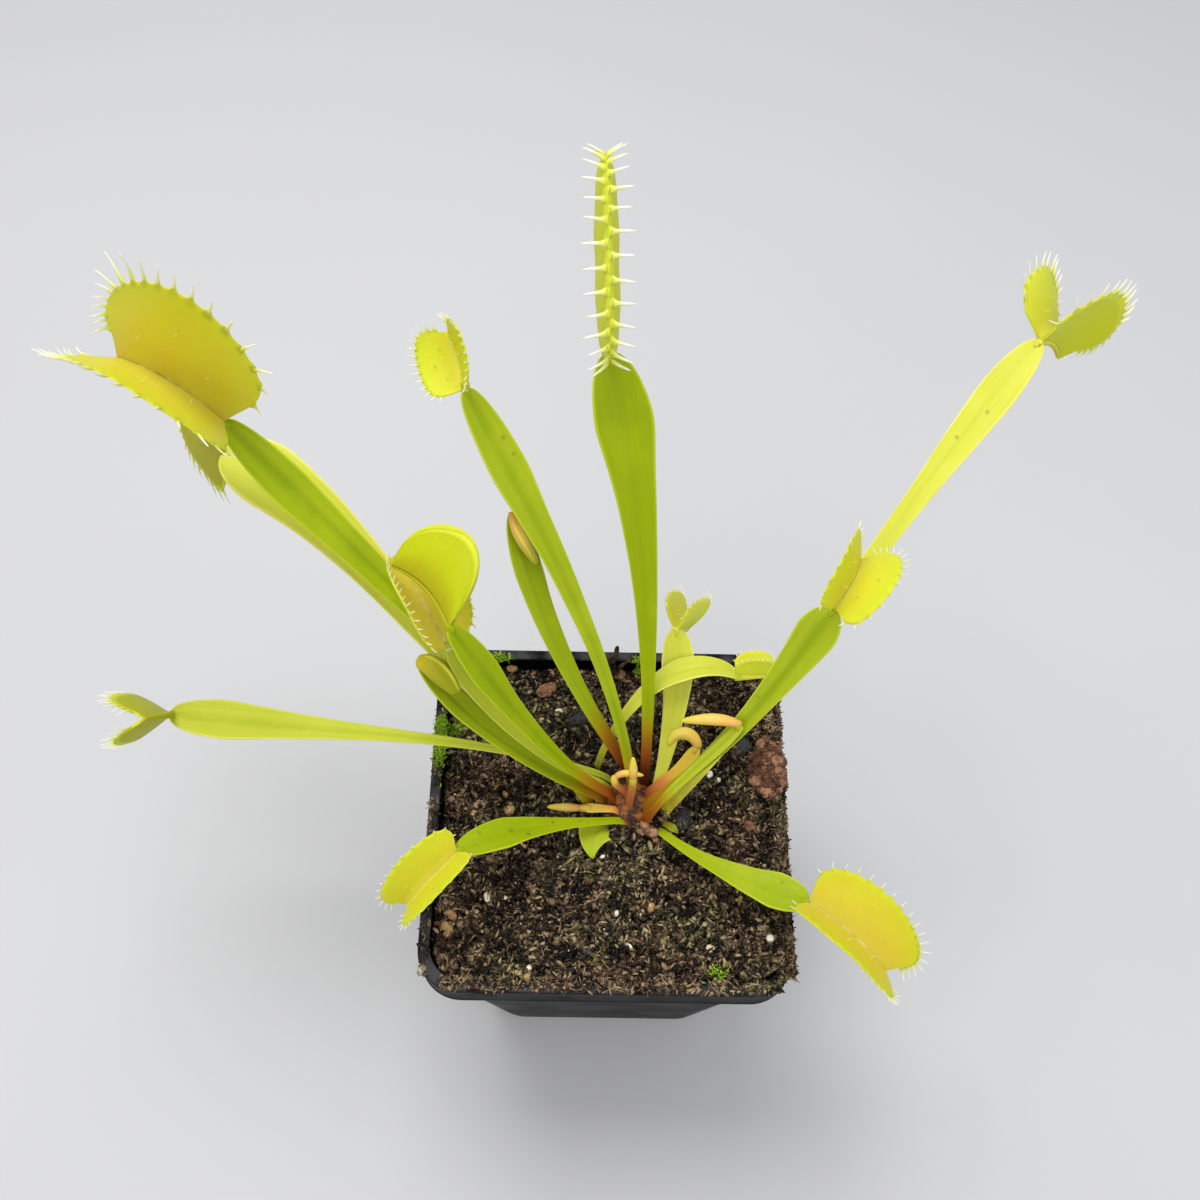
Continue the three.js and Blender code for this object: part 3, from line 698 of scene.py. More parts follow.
@dataclass(frozen=True)
class CrownTissue(Finish):
    """Rhizome crown: fleshy leaf bases, orange-red where fresh and papery brown where old; on the
    crown the old colour is darkened in part as painted shade of the gap between the leaf feet.
    """

    fresh: str = "#A25E1E"
    # On the crown the old colour is in part painted shade: dark enough to stand for the gap between the
    # leaf feet.
    old: str = "#3E200E"
    paper: str = "#A8743A"

    def paint(self, coat: Coat) -> None:
        """Fresh to old by patches, the crown's old colour in part painted shade, with papery streaks.

        Args:
            coat: the material's nodes.
        """
        colour = coat.lay(self.fresh, coat.noise(2.4, 4.0), 0.38, 0.62, 1.0, self.old)
        colour = coat.lay(colour, coat.noise(1.0, 4.0, (1, 1, 0.25)), 0.56, 0.7, 0.7, self.paper)
        bumps = [(coat.noise(0.6, 4.0, (1, 1, 0.3)), 0.3, 0.7)]
        coat.cover(colour, bumps, 0.55, (0.15, 0.002, (1.0, 0.4, 0.2)))


@dataclass(frozen=True)
class Ground(Finish):
    """Peat, bark or stone: a colour for each loose piece from its own random tint.

    It gives the eye dark matt fibres with greyer crests and darker hollows, which on the bed are
    painted light and shade from a tint that rises with its height. patch and relief
    are its cloud's size and its bumps' depth in mm; olive and broad are the strengths of its wide
    green cast and of its 5 mm patches; pace draws its pattern closer along an axis.
    """

    stops: tuple[tuple[float, str], ...]
    patch: float
    pale: str
    roughness: float
    relief: float
    olive: float = 0.0
    broad: float = 0.0
    pace: Triple = (1, 1, 1)

    def paint(self, coat: Coat) -> None:
        """Ramp over the tint plus noise, pale crests, and a rough two-scale bump.

        Args:
            coat: the material's nodes.
        """
        tint, _, _ = coat.marks("hue")
        wide = coat.add(Kind.LINE, coat.noise(5.0), self.broad, -0.55 - 0.5 * self.broad)
        shift = coat.add(Kind.LINE, coat.noise(self.patch, 5.0, self.pace), 1.1, wide)
        level = coat.add(Kind.SUM, tint, shift, use_clamp=True)
        colour = coat.add(Kind.RAMP, level, stops=self.stops)
        colour = coat.lay(colour, coat.noise(0.5, 3.0, self.pace), 0.56, 0.72, 0.45, self.pale)
        cast = coat.noise(16.0, 2.0)
        colour = coat.lay(colour, cast, 0.42, 0.62, self.olive, "#6B6544", Kind.RECOLOUR)
        bumps = [(coat.noise(0.3, 3.0, self.pace), self.relief, 0.6)]
        coat.cover(colour, bumps, self.roughness, IOR=1.45, Specular_IOR_Level=0.3)


@dataclass(frozen=True)
class MossLeaf(Finish):
    """Living cushion moss: tiny matt leaves, brightest at their tips."""

    along: tuple[str, str, str] = ("#2E4A08", "#6E9A14", "#A6CC28")

    def paint(self, coat: Coat) -> None:
        """Dark base to bright tip along each leaf, varied from leaf to leaf.

        Args:
            coat: the material's nodes.
        """
        (along, _, _), (tint, _, _) = coat.marks("place"), coat.marks("hue")
        colour = coat.add(Kind.RAMP, along, stops=zip((0.0, 0.45, 1.0), self.along))
        colour = coat.lay(colour, coat.noise(2.0, 2.0), 0.35, 0.7, 0.6, "#5C8A10")
        colour = coat.lay(colour, tint, 0.5, 1.0, 0.6, "#C2D848")
        flesh = (0.15, 0.001, (0.6, 1.0, 0.1))
        coat.cover(colour, [(coat.noise(0.2, 2.0), 0.05, 0.5)], 0.6, flesh)


@dataclass(frozen=True)
class PotPlastic(Finish):
    """Injection-moulded black polypropylene.

    It gives the eye a low satin sheen, a painted highlight line along the top of the lip and dust
    of dried peat.
    Its mould grain is drawn coarser than the real one, so that it shows.
    """

    body: str = "#030304"
    painted_lip_highlight: str = "#4A4A4C"
    dust: str = "#1C1610"

    def paint(self, coat: Coat) -> None:
        """Black, with a painted highlight line near the top of the lip, dusty in patches, with a fine
        mould grain.

        Args:
            coat: the material's nodes.
        """
        add = coat.add
        height, top = add(Kind.SPLIT, add(Kind.PLACE)), POT_HEIGHT / 1000
        # Painted highlight: a lighter line within 0.3 mm of the lip's top, broken up by this noise.
        highlight_breaks = add(Kind.EASE, coat.noise(5.0, 5.0), 0.3, 0.6, 0.8)
        highlight_line = add(Kind.PRODUCT, add(Kind.EASE, height, top - 0.0003, top - 0.00002), highlight_breaks)
        patches = add(Kind.EASE, coat.noise(9.0, 6.0), 0.55, 0.75, 0.2)
        dust = add(Kind.PRODUCT, patches, add(Kind.EASE, height, 0.03, top))
        colour = add(Kind.MIX, dust, add(Kind.MIX, highlight_line, self.body, self.painted_lip_highlight), self.dust)
        rough = add(Kind.SUM, add(Kind.EASE, coat.noise(14.0, 4.0), 0.3, 0.7, 0.1), dust)
        rough = add(Kind.SUM, rough, 0.36)
        bumps = [(coat.noise(0.45, 2.0), 0.02, 0.25)]
        coat.cover(colour, bumps, rough, IOR=1.32, Specular_IOR_Level=0.11)


@dataclass(frozen=True)
class Water(Finish):
    """A drop of clear water: it gives the eye a small bright glint."""

    def paint(self, coat: Coat) -> None:
        """Clear, smooth and bright."""
        film = [(coat.noise(1.0, 1.0), 0.02, 0.2)]
        coat.cover("#FDFFF2", film, 0.02, IOR=1.33, Transmission_Weight=1.0)


@dataclass(frozen=True)
class FloorPaint(Finish):
    """Matt painted studio floor, pale grey."""

    def paint(self, coat: Coat) -> None:
        """One pale tone with the faintest cloud."""
        coat.cover(coat.lay("#C9C9CB", coat.noise(220.0), 0.3, 0.7, 0.25, "#C3C3C6"), [], 0.62)


PLASTIC = PotPlastic("moulded black polypropylene")
BLADE = LeafBlade("living leaf blade")
YOUNG = LeafBlade(
    "young stalk tissue", ("#C8A634", "#D9A94A"), ("#D2B438", "#E2BE50"), ("#E6CE5E", "#EED88A"),
    "#CC9C3C", ("#DCA23E", "#D2844A", "#BA6A3A", "#7A3E1C"),
)
TRAP_FINISHES = (
    TrapLobe("trap lobe tissue"), TrapBristle("cream trap bristle"), FoldedTrap("folded new trap"),
)
BLADE_AT, LOBE_AT, BRISTLE_AT, FOLDED_AT = range(4)
PEAT_STOPS = (
    (0.0, "#060403"), (0.26, "#150E09"), (0.46, "#483424"), (0.7, "#6E5843"), (1.0, "#AE9674"),
)
PEAT = Ground("damp milled peat", PEAT_STOPS, 2.2, "#6E563A", 0.85, 0.35, 0.6, 0.9)
FIBRE = Ground("peat fibre", PEAT_STOPS, 2.0, "#9A8266", 0.62, 0.15, 0.55, 1.3)
BARK = Ground(
    "composted pine bark", ((0.0, "#2E1A12"), (0.5, "#744C36"), (1.0, "#B98C6E")), 1.4, "#C09A80",
    0.85, 0.5, pace=(1, 2, 1),
)
SLATE = Ground(
    "charcoal chip", ((0.0, "#1C1B1D"), (0.5, "#38363A"), (1.0, "#6A666A")), 2.0, "#8A8486", 0.55, 0.3
)
PERLITE = Ground(
    "perlite and quartz grit", ((0.0, "#8A6A44"), (0.35, "#C39A62"), (0.6, "#D9C9A0"), (1.0, "#F4F1E4")),
    0.8, "#F2EAD2", 0.6, 0.2,
)


# Leaves


@dataclass(frozen=True)
class Course:
    """The line that a stalk follows: its heading and rise change along it as parabolas."""

    start: Triple
    heading: Triple
    rise: Triple
    length: float
    STEPS: ClassVar[int] = 256

    def tangents(self, s: Array) -> Array:
        """The unit tangents at s."""
        return direction(parabola(self.heading, s), parabola(self.rise, s))

    def points(self, s: Array) -> Array:
        """The points at s: the start plus the sum of short steps along the tangent.

        Args:
            s: share of the length, 0 to 1.

        Returns:
            Points in mm.
        """
        grid = np.linspace(0, 1, self.STEPS + 1)
        tangents = self.tangents(grid)
        steps = (tangents[1:] + tangents[:-1]) * (0.5 * self.length / self.STEPS)
        line = np.vstack([np.zeros(3), np.cumsum(steps, axis=0)]) + np.array(self.start)
        return np.stack([np.interp(s, grid, line[:, k]) for k in range(3)], -1)


@dataclass(frozen=True)
class Look:
    """A leaf's colours: each a share from 0 to 1.

    tint runs from deep green to light yellow, blush is how red the foot is and reach how far up the
    leaf it runs; warm is how tan the trap's inside is, deep how dark its outside, in part its own
    deeper green and in part painted shade; stripe is how deep the blade's middle is; keel is how
    brown the lobes are along the midrib and, below 0, how pale they are all over; shade is painted
    shade that darkens the tissue and, below 0, painted light that lightens the lobes.
    """

    tint: float
    blush: float
    reach: float
    warm: float = 0.6
    deep: float = 0.4
    stripe: float = 0.35
    keel: float = 0.0
    shade: float = 0.0


@dataclass(frozen=True)
class Trap:
    """A trap: two lobes folded up along a midrib, with bristles along their margins.

    mouth turns the mouth about the midrib, gape is how far a lobe opens at the midrib, cup how far
    it bends and lean how far its bristles stand in, all in degrees; arch is the midrib's bow in mm;
    flare swells the outline, and tooth is the bristles' length in mm, near the neck and at the far
    end. crowd below 1 sets the bristles closer together toward the far end and stout makes them
    thicker; shut lobes bend over their own local height, so that their margins meet; uneven is how
    much the first lobe stands out past the other at the far end.
    """

    length: float
    depth: float
    heading: float
    rise: float
    mouth: float
    gape: float
    cup: float
    arch: float
    flare: Pair
    teeth: int
    tooth: Pair
    lean: float
    crowd: float = 0.75
    stout: float = 1.0
    shut: bool = False
    uneven: float = 0.0
    THICKNESS: ClassVar[Pair] = (0.36, 0.25)
    STEP: ClassVar[float] = 0.01
    ROWS: ClassVar[Array] = np.array(
        [0, 0.05, 0.12, 0.22, 0.34, 0.46, 0.58, 0.69, 0.78, 0.85, 0.9, 0.94, 0.97, 0.99, 1.0]
    )

    def outline(self, t: Array, hand: int) -> Array:
        """The flat lobe's outline from the neck (t = 0) to the far end of the midrib (1).

        x = L/2 (1 - (1 + flare sin(pi t)) cos(pi t)) and y = depth sin(pi t)^0.75.

        Args:
            t: place along the margin.
            hand: the lobe.

        Returns:
            Flat points, last axis of two.
        """
        c, s = np.cos(np.pi * t), np.clip(np.sin(np.pi * t), 0, 1)
        more = self.uneven * (hand > 0) * smooth(0.35, 0.7, t)
        flare = self.flare[0] * (1 - t) + (self.flare[1] + 3 * more) * t
        deep = self.depth * (1 + more) * s**0.75
        return np.stack([self.length / 2 * (1 - (1 + flare * s) * c), deep], -1)

    def bend(self, t: Array, hand: int) -> Any:
        """The height over which a lobe bends: its depth or, for shut lobes, its local height."""
        return np.maximum(self.outline(t, hand)[..., 1], 0.5) if self.shut else self.depth

    def toothed(self) -> bool:
        """Whether its bristles are long enough to see; a still closed trap has bare lips."""
        return self.tooth[1] > 0.8

    def stands(self, hand: int) -> Array:
        """Where the bristles stand along the margin; those of one hand face the other's gaps."""
        share = (np.arange(self.teeth) + 0.5 * (hand < 0)) / (self.teeth - 0.5)
        return 0.12 + 0.81 * share**self.crowd

    def flat(self, t: Array, row: Array, hand: int) -> Array:
        """A point of the flat lobe: from the midrib to the outline, swollen at each bristle's root.

        Args:
            t: place along the margin.
            row: 0 at the midrib and 1 at the margin.
            hand: the lobe.

        Returns:
            Flat points, last axis of two.
        """
        root = np.stack([self.length * (1 - np.cos(np.pi * t)) / 2, 0 * t], -1)
        rim = self.outline(t, hand)
        run = self.outline(t + self.STEP, hand) - self.outline(t - self.STEP, hand)
        pace = np.linalg.norm(run, axis=-1) / (2 * self.STEP)
        off = (t[..., None] - self.stands(hand)) * np.maximum(pace, 1)[..., None]
        tall = min(0.8, 0.1 * sum(self.tooth)) if self.toothed() else 0.0
        swell = tall * bell(off, 0.35 + 0.5 * tall).sum(-1)
        reach = np.maximum(np.linalg.norm(rim - root, axis=-1), 0.5)
        return root + (rim - root) * (row * (1 + swell / reach * row**9))[..., None]

    def axes(self) -> tuple[Array, Array, Array]:
        """The midrib's direction, the mouth's direction and the hand's side."""
        midrib = self.ahead()
        return midrib, *sides(midrib, np.array(self.heading), self.mouth)

    def ahead(self) -> Array:
        """The direction in which it leaves the neck."""
        return direction(self.heading, self.rise)

    def fold(self, flat: Array, hand: int, neck: Array, bend: Any) -> Array:
        """Folds flat points up along the midrib.

        The lobe is a part of a cylinder: its angle is gape + cup y/bend, its height
        bend/cup (sin angle - sin gape) and its way out -bend/cup (cos angle - cos gape).

        Args:
            flat: flat points.
            hand: the lobe.
            neck: where the midrib starts.
            bend: the height over which the lobe bends.

        Returns:
            Points in mm.
        """
        midrib, mouth, side = self.axes()
        gape, cup = np.radians(self.gape), np.radians(self.cup or 0.5)
        angle = gape + cup * flat[..., 1] / bend
        height = bend / cup * (np.sin(angle) - np.sin(gape))
        out = -hand * bend / cup * (np.cos(angle) - np.cos(gape))
        x = np.clip(flat[..., 0], -0.3 * self.length, 1.3 * self.length)
        height = height - self.arch * 4 * x * (self.length - x) / self.length**2
        return neck + flat[..., :1] * midrib + height[..., None] * mouth + out[..., None] * side

    def inward(self, flat: Array, hand: int, bend: Any) -> Array:
        """The inner face's normals at flat points.

        Args:
            flat: flat points.
            hand: the lobe, 1 or -1.
            bend: the height over which the lobe bends.

        Returns:
            Unit vectors.
        """
        _, mouth, side = self.axes()
        angle = np.radians(self.gape) + np.radians(self.cup or 0.5) * flat[..., 1] / bend
        return np.sin(angle)[..., None] * mouth - hand * np.cos(angle)[..., None] * side

    def lobe(self, hand: int, neck: Array, look: Look) -> Skin:
        """One lobe: rows from midrib to margin on its inner face and back on its outer face.

        Args:
            hand: the lobe, 1 or -1.
            neck: where the trap or pod starts.
            look: the leaf's colours.

        Returns:
            The lobe's skin.
        """
        t = 0.5 - 0.5 * np.cos(np.pi * np.linspace(0.09, 0.91, 6 * self.teeth + 18))
        t = 0.5 * t + 0.5 * np.linspace(0.02, 0.98, len(t))
        face = np.repeat([1.0, -1.0], len(self.ROWS))
        t, row = np.meshgrid(t, np.concatenate([self.ROWS, self.ROWS[::-1]]), indexing="ij")
        flat, bend = self.flat(t, row, hand), self.bend(t, hand)
        thin = self.THICKNESS[0] + (self.THICKNESS[1] - self.THICKNESS[0]) * row
        band = (0.05 if self.toothed() else 0.22) * (smooth(0.84, 0.89, row) - smooth(0.95, 0.98, row))
        dome = 0.12 * ripple(flat, 6.0, 40 + self.teeth)
        lift = (thin + band) * rounded(row, 0.94, 0.06, 0.04) * face + dome
        rings = self.fold(flat, hand, neck, bend) + lift[..., None] * self.inward(flat, hand, bend)
        grain = stacked(t * np.pi * self.depth, row * self.depth, look.keel)
        return lofted(rings, stacked(t, row, face), grain, (look.warm, look.deep, look.shade), LOBE_AT)

    def bristles(self, hand: int, neck: Array, look: Look) -> Skin:
        """The margin's bristles, all in one batch of six-sided lofts.

        Each runs from inside the margin to its tip on a line bowed away from the mouth; its half
        width is 0.6 size exp(-(q/0.22)^2) + 0.24 size (1-q)^0.5, so it has a broad root, which lies
        flat in the margin. They grow longer toward the far end with the square of t.

        Args:
            hand: the lobe, 1 or -1.
            neck: where the trap or pod starts.
            look: the leaf's colours.

        Returns:
            The bristles' skin.
        """
        rng = np.random.default_rng(self.teeth * 7 + (hand > 0) + int(self.length * 10))
        t = self.stands(hand)
        rim, bend = self.outline(t, hand), self.bend(t, hand)
        places = [(self.outline(at, hand), self.bend(at, hand)) for at in (t - self.STEP, t + self.STEP)]
        ahead = unit(places[1][0] - places[0][0])
        beyond = rim + 0.5 * np.stack([-ahead[:, 1], ahead[:, 0]], -1)
        base, inward = self.fold(rim, hand, neck, bend), self.inward(rim, hand, bend)
        aim = unit(self.fold(beyond, hand, neck, bend) - base)
        lean = np.radians(self.lean + rng.uniform(-5, 5, len(t)))[:, None]
        aim = unit(aim * np.cos(lean) + inward * np.sin(lean))
        length = self.tooth[0] + (self.tooth[1] - self.tooth[0]) * t**2
        length = (length * rng.uniform(0.92, 1.08, len(t)))[:, None]
        before, after = [self.fold(at, hand, neck, height) for at, height in places]
        margin = unit(after - before)[:, None]
        start = self.fold(self.flat(t, np.full(len(t), 0.93), hand), hand, neck, bend)
        q = np.linspace(0, 1, 9)[:, None]
        line = curve(q, start[:, None], (base + aim * length)[:, None])
        bow = (length * rng.uniform(0.02, 0.1, (len(t), 1)))[:, None]
        sway = (length * rng.uniform(-0.07, 0.07, (len(t), 1)))[:, None]
        line = line - inward[:, None] * (bow * 4 * q * (1 - q)) + margin * (sway * q * q)
        size = self.stout * np.clip(length / 4.5, 0.5, 1.1)[:, None]
        taper, root = size * np.sqrt(1 - q), size * bell(q, 0.22)
        wide = 0.6 * root + 0.24 * taper + 0.04
        thick = (0.15 * root + 0.22 * taper + 0.04) * (0.28 + 0.72 * smooth(0.03, 0.3, q))
        rings = tube(line, margin, np.cross(aim[:, None], margin), wide, thick, 6)
        return lofted(rings, stacked(q, 0, 0), 0.0, (look.tint, 0.0, 0.0), BRISTLE_AT)

    def trigger_hairs(self, hand: int, neck: Array) -> Skin:
        """Three fine trigger hairs on the inner face: cones that stand along its normal.

        Args:
            hand: the lobe, 1 or -1.
            neck: where the trap or pod starts.

        Returns:
            The hairs' skin.
        """
        t = np.array([0.36, 0.64, 0.5])
        flat, bend = self.flat(t, np.array([0.42, 0.42, 0.62]), hand), self.bend(t, hand)
        midrib, inward = self.ahead(), self.inward(flat, hand, bend)[:, None]
        q = np.linspace(0, 1, 5)[:, None]
        tall = min(1.8, 0.11 * self.depth + 0.4)
        line = self.fold(flat, hand, neck, bend)[:, None] + inward * q * tall
        thick = 0.11 * (1 - q) + 0.03
        rings = tube(line, midrib, np.cross(inward, midrib), thick, thick, 4)
        return lofted(rings, stacked(q * 0.6, 0, 0), 0.0, 0.0, BRISTLE_AT)

    def midrib_rod(self, neck: Array, look: Look) -> Skin:
        """The rib under the fold: a loft of radius 0.95 to 0.5 mm, slimmer where shut.

        Args:
            neck: where the trap or pod starts.
            look: the leaf's colours.

        Returns:
            The rib's skin.
        """
        around = 14
        x = np.linspace(-0.6, self.length + 0.2, 30)
        flat, at = np.stack([x, 0 * x], -1), (x / self.length)[:, None]
        left, right = [self.inward(flat, hand, self.depth) for hand in (1, -1)]
        upward, out = unit(left + right), unit(left - right)
        size = 0.7 if self.shut else 1.0
        radius = size * (0.95 - 0.45 * np.clip(at, 0, 1)) * rounded(at, 0.9, 0.1026, 0.02)
        spine = self.fold(flat, 1, neck, self.depth) - upward * 0.25
        rings = tube(spine, out, upward, radius, 0.9 * radius, around, 0.5)
        high = np.sin(turns(around, 0.5))
        face = np.full(around, -1.0) if self.shut else high
        # Row 0 on the rod's top takes the painted highlight line along the midrib.
        place = stacked(np.clip(at, 0, 1), 0.14 - 0.14 * smooth(0.2, 0.8, high), face)
        hue = (look.warm, look.deep, look.shade)
        return lofted(rings, place, stacked(x[:, None], 0, look.keel), hue, LOBE_AT)

    def skins(self, neck: Array, look: Look) -> list[Skin]:
        """The midrib, both lobes, their bristles and trigger hairs.

        Args:
            neck: where the trap or pod starts.
            look: the leaf's colours.

        Returns:
            Their skins.
        """
        made = [self.midrib_rod(neck, look)]
        for hand in (1, -1):
            made.append(self.lobe(hand, neck, look))
            if self.toothed():
                made.append(self.bristles(hand, neck, look))
                if not self.shut:
                    made.append(self.trigger_hairs(hand, neck))
        return made


@dataclass(frozen=True)
class Pod:
    """A still folded trap: a slim pod with a seam between two lips, bent back from the neck.

    seam is the seam's angle round the pod in degrees, grown its age at the neck and at the tip, and
    lips and blush are how pale its lips and how pink its neck are.
    """

    heading: Triple
    rise: Triple
    length: float
    half: float
    thick: float
    seam: float
    grown: Pair
    blush: float
    lips: float

    def ahead(self) -> Array:
        """The direction in which it leaves the neck."""
        return direction(self.heading[0], self.rise[0])

    def skins(self, neck: Array, look: Look) -> list[Skin]:
        """The pod: oval rings that swell to the middle, with a groove and two lips at the seam.

        The radius is 1 - 0.2 exp(-(d/8)^2) + 0.12 exp(-((|d|-24)/11)^2) for d degrees off the seam.

        Args:
            neck: where it starts.
            look: the leaf's colours.

        Returns:
            Its skin, in a list.
        """
        around = 28
        s = np.sin(np.linspace(0, 0.5, 34) * np.pi)
        course = Course(tuple(neck), self.heading, self.rise, self.length)
        normal, side = sides(course.tangents(s), parabola(self.heading, s), 0.0)
        swell = 0.42 + 0.58 * np.sin(np.pi * np.minimum(s * 0.92 + 0.1, 1))
        off = np.degrees(np.angle(np.exp(1j * (turns(around, 0.5) - np.radians(self.seam)))))
        lips = bell(np.abs(off) - 24, 11)
        grow = smooth(0.04, 0.2, s)[:, None]
        form = 1 + grow * (0.12 * lips - 0.2 * bell(off, 8))
        size = (swell * rounded(s, 0.9, 0.1, 0.015))[:, None] * form
        rings = tube(course.points(s), side, normal, self.half * size, self.thick * size, around, 0.5)
        place = stacked(s[:, None], self.lips * lips * grow, 0)
        age = self.grown[0] + (self.grown[1] - self.grown[0]) * smooth(0.1, 0.9, s)
        hue = stacked(age, self.blush * (1 - smooth(0.0, 0.5, s)), look.shade)[:, None]
        return [lofted(rings, place, 0.0, hue, FOLDED_AT)]


@dataclass(frozen=True)
class Leaf:
    """A leaf: a petiole blade on its course from the crown, with a trap or a pod at its end.

    half and foot_half are half widths in mm, at the widest share of the length and at the foot, and
    taper is the power with which the blade widens. Headings, rises and rolls are in degrees.
    """

    name: str
    foot: Triple
    heading: Triple
    rise: Triple
    roll: Pair
    length: float
    half: float
    foot_half: float
    widest: float
    taper: float
    end: Trap | Pod | None
    look: Look
    slot: Slot = Slot.GREEN
    blade_finish: LeafBlade = BLADE
    NECK_HALF: ClassVar[float] = 0.7
    FOLD: ClassVar[float] = np.radians(12.0)
    ACROSS: ClassVar[Array] = np.array(
        [0, 0.05, 0.12, 0.22, 0.34, 0.47, 0.6, 0.72, 0.82, 0.89, 0.94, 0.975, 1.0]
    )

    def half_width(self, s: Array) -> Array:
        """Half width in mm at s.

        It rises as a power of s to the widest place, then has round shoulders to the neck; the kink
        at the widest place is eased by the mean over a short stretch.

        Args:
            s: share of the length, 0 to 1.

        Returns:
            Half widths in mm.
        """
        total = np.zeros_like(s)
        for shift in np.linspace(-0.02, 0.02, 5):
            at = np.clip(s + shift * smooth(1.0, 0.9, s), 0, 1)
            rise = self.foot_half + (self.half - self.foot_half) * (at / self.widest) ** self.taper
            past = np.clip((at - self.widest) / (1 - self.widest), 0, 1)
            if self.end is None:
                fall = 0.15 + (self.half - 0.15) * (1 - past) ** 0.9
            else:
                fall = self.NECK_HALF + (self.half - self.NECK_HALF) * np.sqrt(1 - past**2)
            total += np.where(at < self.widest, rise, fall) / 5
        return total

    def course(self) -> Course:
        """The petiole's line."""
        return Course(self.foot, self.heading, self.rise, self.length)

    def across(self, s: Array, tangents: Array) -> tuple[Array, Array]:
        """The blade's upper normals and sides at s."""
        roll = self.roll[0] + (self.roll[1] - self.roll[0]) * s
        return sides(tangents, parabola(self.heading, s), roll)

    def centre_line(self) -> tuple[Array, Array, Array]:
        """Stations, points and tangents of the petiole, with its foot bent down into the ground.

        Below the first few mm the line is the cubic curve from a root straight below the foot.

        Returns:
            s, points and unit tangents.
        """
        course = self.course()
        bend = min(4.5 / self.length, 0.3)
        shoulder = np.sin(np.linspace(0, 0.5, 18) * np.pi)[1:]
        stalk = np.linspace(bend, self.widest, int(20 + self.length * 0.35))
        s = np.concatenate([stalk, self.widest + (1 - self.widest) * shoulder])
        points = course.points(s)
        low = np.linspace(0, 1, 10)[:-1, None]
        root = np.array([*self.foot[:2], ROOT_LEVEL])
        lift = root + np.array([0, 0, 0.55]) * (self.foot[2] - ROOT_LEVEL)
        pull = points[0] - course.tangents(np.array([bend]))[0] * 2.0
        s = np.concatenate([low[:, 0] * bend, s])
        points = np.vstack([curve(low, root, lift, pull, points[0]), points])
        walked = np.cumsum(np.linalg.norm(np.diff(points, axis=0, prepend=points[:1]), axis=1))
        return s, points, unit(np.gradient(points, walked, axis=0))

    def blade(self) -> Skin:
        """The petiole: a gutter with a rib below, a fine groove above and round, wavy margins.

        Height across is half sin(fold) |u|^1.4 - 0.2 rib (1-|u|); half thickness is
        edge + (rib - edge)(1-|u|)^1.6, rounded off at the margin.

        Returns:
            The blade's skin.
        """
        s, points, tangents = self.centre_line()
        normal, side = self.across(s, tangents)
        mm = s * self.length
        seed = int(abs(self.foot[0]) * 13 + self.length)
        wander, waves, tilt = [
            ripple(np.stack([mm, 0 * mm], -1), cell, seed + more)
            for cell, more in ((14.0, 0), (8.0, 3), (10.0, 5))
        ]
        wander = 0.025 * wander * smooth(0.1, 0.4, s) * smooth(1.0, 0.8, s)
        half = (self.half_width(s) * (1 + wander))[:, None]
        u = np.concatenate([-self.ACROSS[:0:-1], self.ACROSS])
        face = np.repeat([1.0, -1.0], len(u))
        u = np.concatenate([u, u[::-1]])
        away = np.abs(u)
        rib = (0.85 - 0.2 * np.minimum(s * 2, 1))[:, None]
        edge = np.minimum(0.3, half * 0.3)
        thick = edge + (rib - edge) * (1 - away) ** 1.6
        round_over = np.minimum(0.5, 0.4 / half)
        broad = smooth(1.2, 3.0, half)
        height = half * np.sin(self.FOLD) * away**1.4 - 0.2 * rib * (1 - away)
        height = height + thick * rounded(away, 1 - round_over, round_over, 0.03) * face
        height = height - 0.2 * bell(u * half, 0.45) * (face > 0) * (0.4 + 0.6 * broad)
        height = height + broad * away**3 * (0.22 * waves[:, None] + 0.2 * tilt[:, None] * np.sign(u))
        out = u * half * np.cos(self.FOLD)
        rings = points[:, None] + out[..., None] * side[:, None] + height[..., None] * normal[:, None]
        grain = stacked(mm[:, None], u * half, self.look.stripe)
        red = self.look.blush * (1 - smooth(0.0, self.look.reach, s))[:, None]
        hue = stacked(self.look.tint, red, self.look.shade)
        return lofted(rings, stacked(s[:, None], u, face), grain, hue, BLADE_AT)

    def on_blade(self, s: Array, u: Array) -> Array:
        """Points on the blade's upper face at s along and u across.

        Args:
            s: share of the length, 0 to 1.
            u: place across, -1 to 1.

        Returns:
            Points in mm.
        """
        normal, side = self.across(s, self.course().tangents(s))
        out = u * self.half_width(s) * np.cos(self.FOLD)
        lift = self.half_width(s) * np.sin(self.FOLD) * np.abs(u) ** 1.4 + 0.3 * (1 - np.abs(u)) ** 1.6
        return self.course().points(s) + side * out[:, None] + normal * (lift + 0.2)[:, None]

    def neck_joint(self, neck: Array) -> Skin:
        """The short stalk between the blade's end and its trap: a swollen curve of round rings.

        Args:
            neck: where the trap or pod starts.

        Returns:
            The joint's skin.
        """
        tangent = self.course().tangents(np.array([1.0]))[0]
        q = np.linspace(0, 1, 12)[:, None]
        line = curve(q, neck - tangent * 1.6, neck, neck + self.end.ahead() * 1.5)
        tangents = unit(np.gradient(line, axis=0))
        side = unit(np.cross(tangents, np.array([0.1, 0.05, 1.0])))
        radius = 0.55 + 0.35 * np.sin(np.pi * q)
        rings = tube(line, side, np.cross(tangents, side), radius, radius, 12, 0.5)
        hue = (self.look.tint, 0.0, self.look.shade)
        return lofted(rings, (1.0, 0.5, 0.0), stacked(q * 3, 0, 0), hue, BLADE_AT)

    def build(self) -> bpy.types.Object:
        """The leaf's object, in place of its CAD node.

        Returns:
            The object.
        """
        skins = [self.blade()]
        if self.end is not None:
            neck = self.course().points(np.array([1.0]))[0]
            skins += [self.neck_joint(neck), *self.end.skins(neck, self.look)]
        finishes = (self.blade_finish, *TRAP_FINISHES)
        return piece(self.name + "_living", skins, finishes, self.slot, [self.name])


